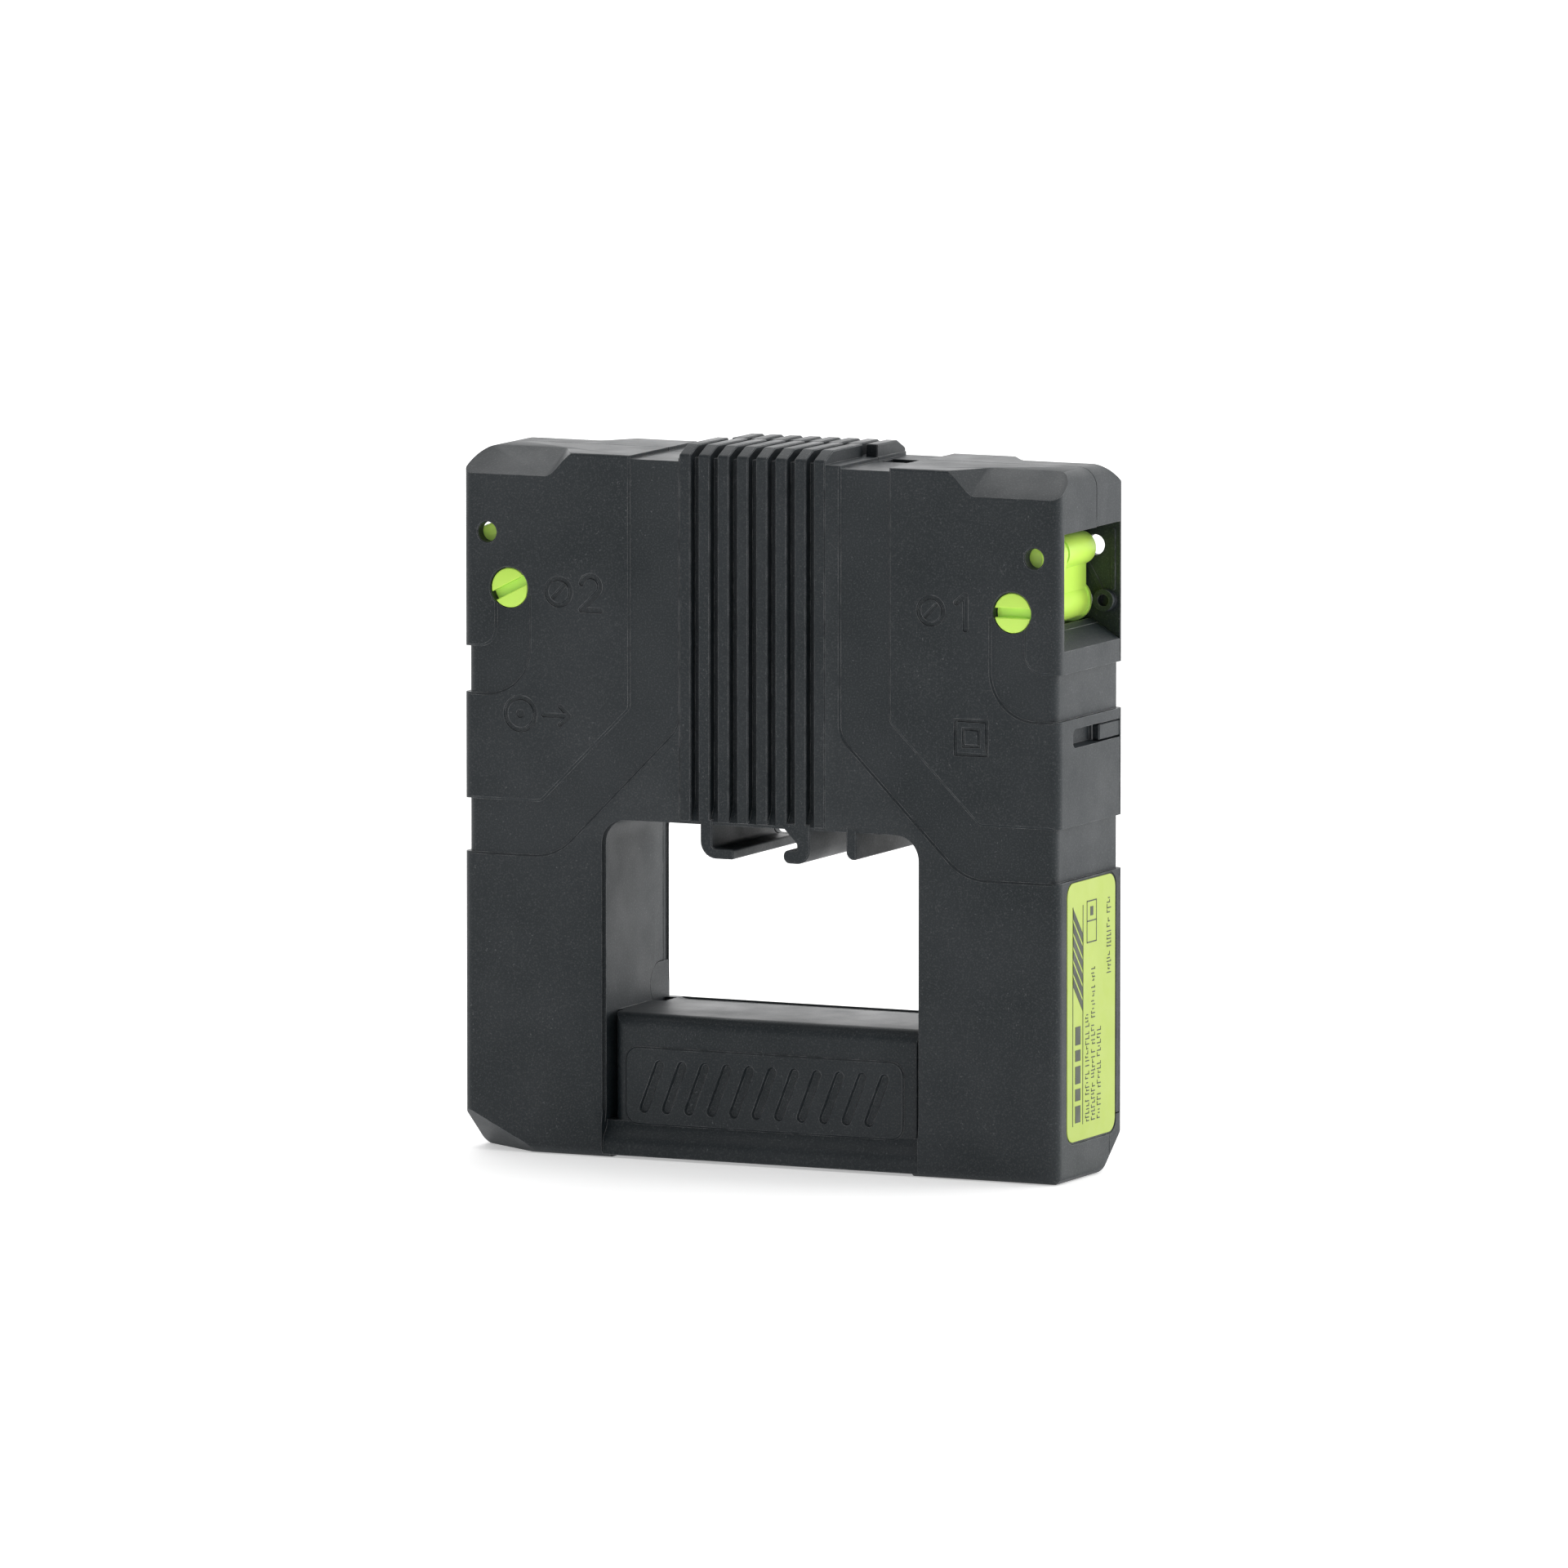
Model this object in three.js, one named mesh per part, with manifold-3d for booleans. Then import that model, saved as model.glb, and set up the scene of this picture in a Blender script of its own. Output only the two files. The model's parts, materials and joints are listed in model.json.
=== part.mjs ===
// Window-type current transformer for a busbar: a moulded case in two shells round a
// rectangular window, a tape-wound core and its winding inside, and a lever clamp in
// each upper corner.
// Millimetres. X runs to the right across the front, Y runs back, Z runs up.
// The origin is at the bottom centre of the case.

import * as THREE from "three";
import { mergeVertices } from "three/addons/utils/BufferGeometryUtils.js";
import { ConvexGeometry } from "three/addons/geometries/ConvexGeometry.js";
import ManifoldModule from "manifold-3d";

const wasm = await ManifoldModule();
wasm.setup();

// ---- driving dimensions -------------------------------------------------------------

const GAP = 0.3; // clearance between neighbouring pieces
const OVER = 2; // how far a cutting shape runs past the face that it cuts

const HALF_WIDTH = 46.25;
const HALF_DEPTH = 11.25;
const HEIGHT = 100; // top of the case, without the ribs
const FRONT = -HALF_DEPTH;
const REAR = HALF_DEPTH;
const WALL = 1.8;
const EDGE_RADIUS = 1.5; // upright edges of the case
const TOP_RADIUS = 2.8; // upper corners in the front view
const FOOT_RADIUS = 1.5; // front and rear lower edges
const FOOT_FACET = { across: 12.5, back: 7.6, up: 6.2 }; // oblique cut at two lower corners
const FOOT_INSIDE = 8; // chamfer of the hollow, behind the feet

const WINDOW = { half: 24.56, low: 20.5, high: 48.2, radius: 3.5 };
const SLEEVE = 1.6; // wall round the window
const CROSSBAR = { front: -9.25, wall: 1.5, low: 0.4, lipHigh: 4.4, lipFront: -10.9, lipLow: 2.8 };

const CENTRE_HALF = 12.5; // raised middle field of the front face
const RIB = { count: 8, pitch: 2.98, width: 1.8, depth: 1.5, rise: 1.8, chamferUp: 1.25, chamferIn: 2.8 };
const RIB_START = -12.4;

const BAND = { inner: CENTRE_HALF, outer: 20.1, kneeLow: 61.8, kneeHigh: 64.2, low: 42.6, high: 50.2 };
const BAND_DEPTH = { front: 0.3, side: 0.6, top: 0.5 };
const NOTCH = { low: 65.3, high: 71.9, depth: 0.6 };

const GRIP = { drop: 3.5, run: 6.2, rearRun: 5, from: 32.8, to: 28.8 }; // facets at the top corners
const TOP_SLOT = { from: 13.4, to: 17.6, front: 0.4, rear: 4.6, depth: 1.2 };

const SPLIT = { top: 1.6, middle: 9.65, foot: 6.3, topFrom: 91.6, footTo: 8 }; // parting line

const POCKET = { inner: 34.9, low: 77.9, high: 91.6 }; // opening in each side for the clamp
const LEDGE = { inner: 41.9, outerHigh: 75.1, low: 73.2, floor: 1.4 };
const PIVOT = { x: 39, z: 80.4, hole: 2.95, head: 2.6, headSink: 0.25 };
const PROBE = { x: 42.4, z: 88.2, radius: 1.45 };
const SLOT = { width: 1.4, depth: 1.2 };
const OPEN_ANGLE = 27; // degrees from closed to open
const S2_REST = OPEN_ANGLE; // the left-hand clamp stands open

const TAB = { low: 61.4, high: 63.7, front: -6.35, tip: 2.95 }; // snap tab of the rear shell
const TONGUE = { z: 22.6, half: 3.1, reach: 4.7 }; // rear shell's tongue in the window wall
const LABEL = { front: -8.1, rear: 8.3, low: 5.6, high: 42.2, thick: 0.2, radius: 2 };

const CORE = { innerHalf: 27.4, innerLow: 16.4, innerHigh: 55, build: 11, front: -3.4, rear: 5.6 };
const BOBBIN = { half: 24, flange: 1.4, wall: 0.8, clear: 0.4 };
const COIL = { low: 51.2, high: 69.8, front: -6.9, rear: 8.8, radius: 3 };
const TAPE = { half: 8, thick: 0.4 };

// ---- shapes -------------------------------------------------------------------------

const ARC_STEPS = 6;

function polygon(points) {
  return new THREE.Shape(points.map(([x, y]) => new THREE.Vector2(x, y)));
}

function roundedRect(x0, x1, y0, y1, radius) {
  const shape = new THREE.Shape();
  shape.moveTo(x0 + radius, y0);
  shape.lineTo(x1 - radius, y0);
  shape.absarc(x1 - radius, y0 + radius, radius, -Math.PI / 2, 0, false);
  shape.lineTo(x1, y1 - radius);
  shape.absarc(x1 - radius, y1 - radius, radius, 0, Math.PI / 2, false);
  shape.lineTo(x0 + radius, y1);
  shape.absarc(x0 + radius, y1 - radius, radius, Math.PI / 2, Math.PI, false);
  shape.lineTo(x0, y0 + radius);
  shape.absarc(x0 + radius, y0 + radius, radius, Math.PI, Math.PI * 1.5, false);
  return shape;
}

function circle(x, y, radius) {
  const shape = new THREE.Shape();
  shape.absarc(x, y, radius, 0, Math.PI * 2, false);
  return shape;
}

function mirrored(points) {
  return points.map(([x, y]) => [-x, y]);
}

function extrude(shape, from, to, basis, steps) {
  const settings = { depth: to - from, bevelEnabled: false, curveSegments: steps };
  const geometry = new THREE.ExtrudeGeometry(shape, settings);
  geometry.translate(0, 0, from);
  geometry.applyMatrix4(basis);
  return geometry;
}

const X_AXIS = new THREE.Vector3(1, 0, 0);
const Y_AXIS = new THREE.Vector3(0, 1, 0);
const Z_AXIS = new THREE.Vector3(0, 0, 1);
const ALONG_X = new THREE.Matrix4().makeBasis(Y_AXIS, Z_AXIS, X_AXIS);
const ALONG_Y = new THREE.Matrix4().makeBasis(X_AXIS, Z_AXIS, Y_AXIS.clone().negate());

// A drawing of the front view (x, z), drawn out from one depth to another.
function alongY(shape, from, to, steps = ARC_STEPS) {
  return solid(extrude(shape, -to, -from, ALONG_Y, steps));
}

// A drawing of the side view (y, z), drawn out across the width.
function alongX(shape, from, to, steps = ARC_STEPS) {
  return solid(extrude(shape, from, to, ALONG_X, steps));
}

// A drawing of the top view (x, y), drawn upwards.
function alongZ(shape, from, to, steps = ARC_STEPS) {
  return solid(extrude(shape, from, to, new THREE.Matrix4(), steps));
}

function box(x0, x1, y0, y1, z0, z1) {
  const geometry = new THREE.BoxGeometry(x1 - x0, y1 - y0, z1 - z0);
  geometry.translate((x0 + x1) / 2, (y0 + y1) / 2, (z0 + z1) / 2);
  return solid(geometry);
}

// A box that is given by its distance from the middle on the side that sign names.
function sideBox(sign, inner, outer, y0, y1, z0, z1) {
  return sign > 0 ? box(inner, outer, y0, y1, z0, z1) : box(-outer, -inner, y0, y1, z0, z1);
}

function convex(points) {
  return solid(new ConvexGeometry(points.map(([x, y, z]) => new THREE.Vector3(x, y, z))));
}

// ---- booleans -----------------------------------------------------------------------

function solid(geometry) {
  const bare = geometry.clone();
  bare.deleteAttribute("normal");
  bare.deleteAttribute("uv");
  const merged = mergeVertices(bare, 1e-4);
  const mesh = new wasm.Mesh({
    numProp: 3,
    vertProperties: new Float32Array(merged.attributes.position.array),
    triVerts: new Uint32Array(merged.index.array),
  });
  return new wasm.Manifold(mesh);
}

function join(first, ...rest) {
  return rest.reduce((sum, piece) => sum.add(piece), first);
}

function cut(first, ...rest) {
  return rest.reduce((left, piece) => left.subtract(piece), first);
}

function common(first, ...rest) {
  return rest.reduce((shared, piece) => shared.intersect(piece), first);
}

function geometryOf(body) {
  const mesh = body.getMesh();
  const geometry = new THREE.BufferGeometry();
  geometry.setAttribute("position", new THREE.BufferAttribute(new Float32Array(mesh.vertProperties), 3));
  geometry.setIndex(new THREE.BufferAttribute(new Uint32Array(mesh.triVerts), 1));
  geometry.computeVertexNormals();
  return geometry;
}

// ---- materials ----------------------------------------------------------------------

const FINISHES = {
  blackPlastic: { color: 0x2b2e30, roughness: 0.62, metalness: 0 },
  insertPlastic: { color: 0x1f2123, roughness: 0.6, metalness: 0 },
  limePlastic: { color: 0xa4d63c, roughness: 0.42, metalness: 0 },
  labelFilm: { color: 0xc8de73, roughness: 0.5, metalness: 0 },
  coreSteel: { color: 0x6f7276, roughness: 0.45, metalness: 0.9 },
  copper: { color: 0xb0673a, roughness: 0.35, metalness: 0.9 },
  brass: { color: 0xc2a55c, roughness: 0.3, metalness: 1 },
  springSteel: { color: 0xb9bdc1, roughness: 0.28, metalness: 1 },
  tape: { color: 0xd7c48a, roughness: 0.55, metalness: 0 },
  foam: { color: 0x4a4c4e, roughness: 0.95, metalness: 0 },
  bobbinPlastic: { color: 0xe4e0d4, roughness: 0.5, metalness: 0 },
  sleeving: { color: 0x8c2f22, roughness: 0.6, metalness: 0 },
};

const part = new THREE.Group();

function add(name, body, finish) {
  const mesh = new THREE.Mesh(geometryOf(body), new THREE.MeshStandardMaterial(FINISHES[finish]));
  mesh.name = name;
  part.add(mesh);
  return mesh;
}

// ---- outside of the case ------------------------------------------------------------

function caseOutline() {
  const shape = new THREE.Shape();
  const straight = HALF_WIDTH - TOP_RADIUS;
  const top = HEIGHT - TOP_RADIUS;
  shape.moveTo(-HALF_WIDTH, 0);
  shape.lineTo(HALF_WIDTH, 0);
  shape.lineTo(HALF_WIDTH, top);
  shape.absarc(straight, top, TOP_RADIUS, 0, Math.PI / 2, false);
  shape.lineTo(-straight, HEIGHT);
  shape.absarc(-straight, top, TOP_RADIUS, Math.PI / 2, Math.PI, false);
  return shape;
}

function sideOutline() {
  const shape = new THREE.Shape();
  shape.moveTo(FRONT, HEIGHT + OVER);
  shape.lineTo(FRONT, FOOT_RADIUS);
  shape.absarc(FRONT + FOOT_RADIUS, FOOT_RADIUS, FOOT_RADIUS, Math.PI, Math.PI * 1.5, false);
  shape.lineTo(REAR - FOOT_RADIUS, 0);
  shape.absarc(REAR - FOOT_RADIUS, FOOT_RADIUS, FOOT_RADIUS, -Math.PI / 2, 0, false);
  shape.lineTo(REAR, HEIGHT + OVER);
  return shape;
}

// The oblique cut across the front left lower corner, reaching past the case outside.
function footFacet() {
  const { across, back, up } = FOOT_FACET;
  const corner = new THREE.Vector3(-HALF_WIDTH, FRONT, 0);
  const ends = [[across, 0, 0], [0, back, 0], [0, 0, up]];
  const middle = new THREE.Vector3(across, back, up).divideScalar(3);
  const wide = ends.map((end) => new THREE.Vector3(...end).lerp(middle, -0.6).add(corner));
  const outside = corner.clone().addScalar(-OVER * 2);
  return convex([...wide, outside].map((point) => point.toArray()));
}

function caseBlock() {
  const plan = roundedRect(-HALF_WIDTH, HALF_WIDTH, FRONT, REAR, EDGE_RADIUS);
  const block = common(
    alongY(caseOutline(), FRONT - OVER, REAR + OVER),
    alongZ(plan, -OVER, HEIGHT + OVER),
    alongX(sideOutline(), -HALF_WIDTH - OVER, HALF_WIDTH + OVER),
  );
  return cut(block, footFacet(), footFacet().rotate([0, 0, 180]));
}

// The middle field stands up from the top face as a block with sloped ends, from which
// the grooves between the ribs are cut.
function ribBlock() {
  const top = HEIGHT + RIB.rise;
  const shoulder = top - RIB.chamferUp;
  const side = polygon([
    [FRONT, HEIGHT - OVER],
    [REAR, HEIGHT - OVER],
    [REAR, shoulder],
    [REAR - RIB.chamferIn, top],
    [FRONT + RIB.chamferIn, top],
    [FRONT, shoulder],
  ]);
  return alongX(side, -CENTRE_HALF, CENTRE_HALF);
}

// One groove runs down the front face and on over the top as far as the parting line.
function grooveShape() {
  const floor = FRONT + RIB.depth;
  const start = WINDOW.high + 0.3;
  return polygon([
    [FRONT - OVER, start],
    [FRONT, start],
    [FRONT + RIB.depth * 0.6, start + 0.6],
    [floor, start + 2],
    [floor, HEIGHT],
    [SPLIT.top, HEIGHT],
    [SPLIT.top, HEIGHT + OVER * 2],
    [FRONT - OVER, HEIGHT + OVER * 2],
  ]);
}

function frontGrooves() {
  const grooves = [];
  const firstGap = RIB_START + RIB.width;
  for (let index = 0; index < RIB.count - 1; index += 1) {
    const from = firstGap + index * RIB.pitch;
    grooves.push(alongX(grooveShape(), from, from + RIB.pitch - RIB.width));
  }
  const lastRib = RIB_START + (RIB.count - 1) * RIB.pitch + RIB.width;
  grooves.push(box(lastRib, CENTRE_HALF + OVER, FRONT - OVER, SPLIT.top, HEIGHT, HEIGHT + OVER * 2));
  return join(...grooves);
}

// The rear face repeats the front one, turned half round the upright axis; on top its
// grooves stop at the parting line too.
function rearGrooves() {
  const keep = box(-HALF_WIDTH, HALF_WIDTH, SPLIT.top, REAR + OVER, 0, HEIGHT + OVER * 3);
  const long = frontGrooves().rotate([0, 0, 180]);
  const extension = frontGrooves().rotate([0, 0, 180]).translate([0, SPLIT.top * 2, 0]);
  return common(join(long, extension), keep);
}

function windowHole() {
  const { half, low, high, radius } = WINDOW;
  return alongY(roundedRect(-half, half, low, high, radius), FRONT - OVER, REAR + OVER);
}

// Two facing hooks and a plain web hang under the ribs and run the whole depth.
const HOOKS = [
  { wall: [-9.1, -7.3], foot: [-9.1, -3.95], low: 43.5, footHigh: 44.9 },
  { wall: [5.9, 7.9], foot: [3.8, 7.9], low: 43.4, footHigh: 45.4 },
  { wall: [13.55, 15.1], foot: [13.55, 15.1], low: 44.4, footHigh: 45 },
];

function hooks() {
  return join(
    ...HOOKS.map(({ wall, foot, low, footHigh }) =>
      join(
        box(wall[0], wall[1], FRONT, REAR, low, WINDOW.high + 1),
        box(foot[0], foot[1], FRONT, REAR, low, footHigh),
      ),
    ),
  );
}

function crossbarRecess() {
  const { front, low, lipHigh, lipFront, lipLow } = CROSSBAR;
  const side = polygon([
    [FRONT - OVER, lipLow],
    [lipFront, lipLow],
    [front, lipHigh],
    [front, WINDOW.low + 5],
    [FRONT - OVER, WINDOW.low + 5],
  ]);
  return join(
    alongX(side, -WINDOW.half, WINDOW.half),
    box(-WINDOW.half + 1, WINDOW.half - 1, FRONT - OVER, REAR + OVER, -OVER, low),
  );
}

// The shallow recess that runs down from the top, slants outwards and ends at the side.
function bandPoints() {
  const reach = HALF_WIDTH + OVER;
  return [
    [BAND.inner, HEIGHT + OVER],
    [BAND.inner, BAND.kneeLow],
    [BAND.inner + BAND.kneeLow - BAND.low, BAND.low],
    [reach, BAND.low],
    [reach, BAND.high],
    [BAND.outer + BAND.kneeHigh - BAND.high, BAND.high],
    [BAND.outer, BAND.kneeHigh],
    [BAND.outer, HEIGHT + OVER],
  ];
}

function bandRecess(sign) {
  const points = sign > 0 ? bandPoints() : mirrored(bandPoints()).reverse();
  const shape = polygon(points);
  const outer = HALF_WIDTH + OVER;
  return join(
    alongY(shape, FRONT - OVER, FRONT + BAND_DEPTH.front),
    alongY(shape, REAR - BAND_DEPTH.front, REAR + OVER),
    sideBox(sign, HALF_WIDTH - BAND_DEPTH.side, outer, FRONT - OVER, REAR + OVER, BAND.low, BAND.high),
    sideBox(sign, BAND.inner, BAND.outer, FRONT - OVER, REAR + OVER, HEIGHT - BAND_DEPTH.top, HEIGHT + OVER),
  );
}

function notch(sign) {
  const floor = HALF_WIDTH - NOTCH.depth;
  return sideBox(sign, floor, HALF_WIDTH + OVER, FRONT - OVER, REAR + OVER, NOTCH.low, NOTCH.high);
}

// A sloped facet at one upper corner, with a slanted inner end.
function gripFacet(signX, signY) {
  const face = HALF_DEPTH;
  const run = signY > 0 ? GRIP.rearRun : GRIP.run;
  const slope = GRIP.drop / run;
  const far = HALF_WIDTH + OVER;
  const rise = OVER * slope;
  const high = HEIGHT + OVER;
  const corners = [
    [GRIP.from, face, HEIGHT - GRIP.drop],
    [GRIP.from, face + OVER, HEIGHT - GRIP.drop - rise],
    [far, face, HEIGHT - GRIP.drop],
    [far, face + OVER, HEIGHT - GRIP.drop - rise],
    [GRIP.from, face - run, HEIGHT],
    [far, face - run, HEIGHT],
    [GRIP.to, face, HEIGHT],
    [GRIP.to, face + OVER, HEIGHT],
    [GRIP.to, face, high],
    [GRIP.to, face + OVER, high],
    [GRIP.from, face - run, high],
    [far, face - run, high],
    [far, face + OVER, high],
  ];
  return convex(corners.map(([x, y, z]) => [signX * x, signY * y, z]));
}

function topSlot(sign) {
  const { from, to, front, rear, depth } = TOP_SLOT;
  return sideBox(sign, from, to, front, rear, HEIGHT - depth, HEIGHT + OVER);
}

// The opening in the side, with a floor that slopes down to the outside.
function pocketOpening(sign) {
  const inner = HALF_WIDTH - WALL - 0.1;
  const slope = (POCKET.low - LEDGE.outerHigh) / (HALF_WIDTH - LEDGE.inner);
  const points = [
    [inner, POCKET.low - (inner - LEDGE.inner) * slope],
    [HALF_WIDTH + OVER, LEDGE.outerHigh - OVER * slope],
    [HALF_WIDTH + OVER, POCKET.high],
    [inner, POCKET.high],
  ];
  const shape = polygon(sign > 0 ? points : mirrored(points).reverse());
  return alongY(shape, FRONT + WALL, SPLIT.middle);
}

function labelRecess() {
  const { front, rear, low, high, thick, radius } = LABEL;
  const grow = GAP;
  const shape = roundedRect(front - grow, rear + grow, low - 0.1, high + grow, radius);
  return alongX(shape, HALF_WIDTH - thick, HALF_WIDTH + OVER);
}

function roundHoles(sign) {
  const through = [FRONT - OVER, REAR + OVER];
  return join(
    alongY(circle(sign * PIVOT.x, PIVOT.z, PIVOT.hole), ...through, 12),
    alongY(circle(sign * PROBE.x, PROBE.z, PROBE.radius), ...through, 8),
  );
}

function outsideOfCase() {
  const sides = [-1, 1];
  let body = cut(caseBlock(), windowHole());
  body = join(body, hooks(), ribBlock());
  return cut(
    body,
    frontGrooves(),
    rearGrooves(),
    crossbarRecess(),
    ...sides.map(bandRecess),
    ...sides.map(notch),
    ...sides.flatMap((x) => sides.map((y) => gripFacet(x, y))),
    ...sides.map(topSlot),
    ...sides.map(pocketOpening),
    ...sides.map(roundHoles),
    labelRecess(),
  );
}

// ---- the two shells -----------------------------------------------------------------

// What the shells leave free inside, from behind the front wall to the rear plate.
function insideOfCase() {
  const side = HALF_WIDTH - WALL;
  const floor = WALL + CROSSBAR.low;
  const rear = SPLIT.middle + OVER;
  const outline = polygon([
    [-side + FOOT_INSIDE, floor],
    [side - FOOT_INSIDE, floor],
    [side, floor + FOOT_INSIDE],
    [side, HEIGHT - TOP_RADIUS],
    [side - TOP_RADIUS + WALL, HEIGHT - WALL - 0.2],
    [-side + TOP_RADIUS - WALL, HEIGHT - WALL - 0.2],
    [-side, HEIGHT - TOP_RADIUS],
    [-side, floor + FOOT_INSIDE],
  ]);
  const sleeveHalf = WINDOW.half + SLEEVE;
  const sleeve = roundedRect(
    -sleeveHalf, sleeveHalf, WINDOW.low - SLEEVE, WINDOW.high + SLEEVE, WINDOW.radius + SLEEVE,
  );
  const crossbarWall = CROSSBAR.front + CROSSBAR.wall;
  const ribWall = FRONT + RIB.depth + 1.4;
  const gripDeep = FRONT + GRIP.run + WALL;
  let free = cut(
    alongY(outline, FRONT + WALL, rear),
    alongY(sleeve, FRONT, rear),
    box(-sleeveHalf, sleeveHalf, FRONT, crossbarWall, 0, WINDOW.low),
    box(-CENTRE_HALF - WALL, CENTRE_HALF + WALL, FRONT, ribWall, WINDOW.high, HEIGHT),
  );
  for (const sign of [-1, 1]) {
    free = cut(
      free,
      sideBox(sign, GRIP.to - WALL, HALF_WIDTH, FRONT, gripDeep, HEIGHT - GRIP.drop - WALL - 0.6, HEIGHT),
      sideBox(sign, GRIP.to - WALL, HALF_WIDTH, -gripDeep, REAR, HEIGHT - GRIP.drop - WALL - 0.6, HEIGHT),
      sideBox(sign, TOP_SLOT.from - 1, TOP_SLOT.to + 1, FRONT, REAR, HEIGHT - TOP_SLOT.depth - 1.4, HEIGHT),
      ledgeBlock(sign),
    );
  }
  return free;
}

// Floor of the clamp pocket: a thin shelf that thickens to the sloped ledge.
function ledgeBlock(sign) {
  const shelfLow = POCKET.low - 0.6 - LEDGE.floor;
  const shelfHigh = POCKET.low - 0.6;
  const side = HALF_WIDTH - WALL + 0.1;
  const slope = (POCKET.low - LEDGE.outerHigh) / (HALF_WIDTH - LEDGE.inner);
  const ledge = [
    [LEDGE.inner, LEDGE.low],
    [side, LEDGE.low],
    [side, POCKET.low - (side - LEDGE.inner) * slope],
    [LEDGE.inner, POCKET.low],
  ];
  const shape = polygon(sign > 0 ? ledge : mirrored(ledge).reverse());
  return join(
    alongY(shape, FRONT, SPLIT.middle - GAP / 2),
    sideBox(sign, POCKET.inner, LEDGE.inner + 1, FRONT, SPLIT.middle - GAP / 2, shelfLow, shelfHigh),
  );
}

function regionInFrontOf(shift) {
  const wide = HALF_WIDTH + OVER;
  const front = FRONT - OVER;
  return join(
    box(-wide, wide, front, SPLIT.foot + shift, -OVER, HEIGHT + OVER * 2),
    box(-wide, wide, front, SPLIT.middle + shift, SPLIT.footTo - shift, SPLIT.topFrom + shift),
  );
}

function frontRegion() {
  const wide = HALF_WIDTH + OVER;
  const high = box(-wide, wide, SPLIT.top - GAP / 2, REAR + OVER, SPLIT.topFrom - GAP / 2, HEIGHT * 2);
  return cut(regionInFrontOf(-GAP / 2), high);
}

function rearRegion() {
  const wide = HALF_WIDTH + OVER;
  const all = box(-wide, wide, FRONT - OVER, REAR + OVER, -OVER, HEIGHT + OVER * 2);
  const high = box(-wide, wide, SPLIT.top + GAP / 2, REAR + OVER, SPLIT.topFrom + GAP / 2, HEIGHT * 2);
  return join(cut(all, regionInFrontOf(GAP / 2)), common(all, high));
}

function tongueShape(grow) {
  const half = TONGUE.half + grow;
  const centre = SPLIT.middle - TONGUE.reach - grow + half;
  const shape = new THREE.Shape();
  shape.moveTo(REAR - 0.5, TONGUE.z + half);
  shape.lineTo(centre, TONGUE.z + half);
  shape.absarc(centre, TONGUE.z, half, Math.PI / 2, Math.PI * 1.5, false);
  shape.lineTo(REAR - 0.5, TONGUE.z - half);
  return shape;
}

// The tongue of the rear shell that shows in the left wall of the window.
function tongue(grow) {
  const inner = -WINDOW.half - SLEEVE - grow * 2;
  return alongX(tongueShape(grow), inner, -WINDOW.half + (grow > 0 ? OVER : 0));
}

function frontShell(outside) {
  const tabSlots = [-1, 1].map((sign) =>
    sideBox(sign, HALF_WIDTH - WALL - 1, HALF_WIDTH + OVER, TAB.front, REAR, TAB.low - GAP, TAB.high + GAP),
  );
  return cut(common(outside, frontRegion()), insideOfCase(), ...tabSlots, tongue(GAP));
}

function rearShell(outside) {
  const tabs = [-1, 1].map((sign) =>
    sideBox(sign, HALF_WIDTH - WALL, HALF_WIDTH - 0.35, TAB.tip, REAR - 1, TAB.low, TAB.high),
  );
  const plateInner = SPLIT.middle + GAP / 2;
  const free = cut(
    insideOfCase(),
    box(-HALF_WIDTH, HALF_WIDTH, plateInner, REAR + OVER, 0, HEIGHT),
  );
  return join(cut(common(outside, rearRegion()), free), tongue(0), ...tabs);
}

// ---- core and winding ---------------------------------------------------------------

function ring(x, low, high, radius, wall) {
  const shape = roundedRect(-x - wall, x + wall, low - wall, high + wall, radius + wall);
  shape.holes.push(roundedRect(-x, x, low, high, radius));
  return shape;
}

function magneticCore() {
  const { innerHalf, innerLow, innerHigh, build, front, rear } = CORE;
  return alongY(ring(innerHalf, innerLow, innerHigh, 1.5, build), front, rear);
}

// A rectangular sleeve in the side view, given by its bore and its outer size.
function sleeveAcross(bore, outer, radius, from, to) {
  const shape = roundedRect(...outer, radius);
  shape.holes.push(roundedRect(...bore, 0.4));
  return alongX(shape, from, to);
}

function limb(grow) {
  return [
    CORE.front - grow,
    CORE.rear + grow,
    CORE.innerHigh - grow,
    CORE.innerHigh + CORE.build + grow,
  ];
}

function coilSection(grow) {
  return [COIL.front - grow, COIL.rear + grow, COIL.low - grow, COIL.high + grow];
}

function windingBobbin() {
  const bore = limb(BOBBIN.clear);
  const tube = limb(BOBBIN.clear + BOBBIN.wall);
  const inner = BOBBIN.half - BOBBIN.flange;
  return join(
    sleeveAcross(bore, tube, 1, -inner, inner),
    sleeveAcross(bore, coilSection(0.5), COIL.radius, inner, BOBBIN.half),
    sleeveAcross(bore, coilSection(0.5), COIL.radius, -BOBBIN.half, -inner),
  );
}

function secondaryWinding() {
  const half = BOBBIN.half - BOBBIN.flange - GAP;
  const bore = limb(BOBBIN.clear + BOBBIN.wall + GAP);
  return sleeveAcross(bore, coilSection(0), COIL.radius, -half, half);
}

function windingTape() {
  const bore = coilSection(GAP);
  const shape = roundedRect(...coilSection(GAP + TAPE.thick), COIL.radius + GAP + TAPE.thick);
  shape.holes.push(roundedRect(...bore, COIL.radius + GAP));
  return alongX(shape, -TAPE.half, TAPE.half);
}

function corePads() {
  const { front, rear, innerHalf, innerLow, build } = CORE;
  const under = innerLow - build;
  const beside = innerHalf + build;
  const wall = HALF_WIDTH - WALL;
  add("core_pad_bottom", box(-20, 20, front, rear, WALL + CROSSBAR.low + GAP, under - GAP), "foam");
  add("core_pad_left", box(-wall + GAP, -beside - GAP, front, rear, 15, 45), "foam");
  add("core_pad_right", box(beside + GAP, wall - GAP, front, rear, 15, 45), "foam");
}

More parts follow.
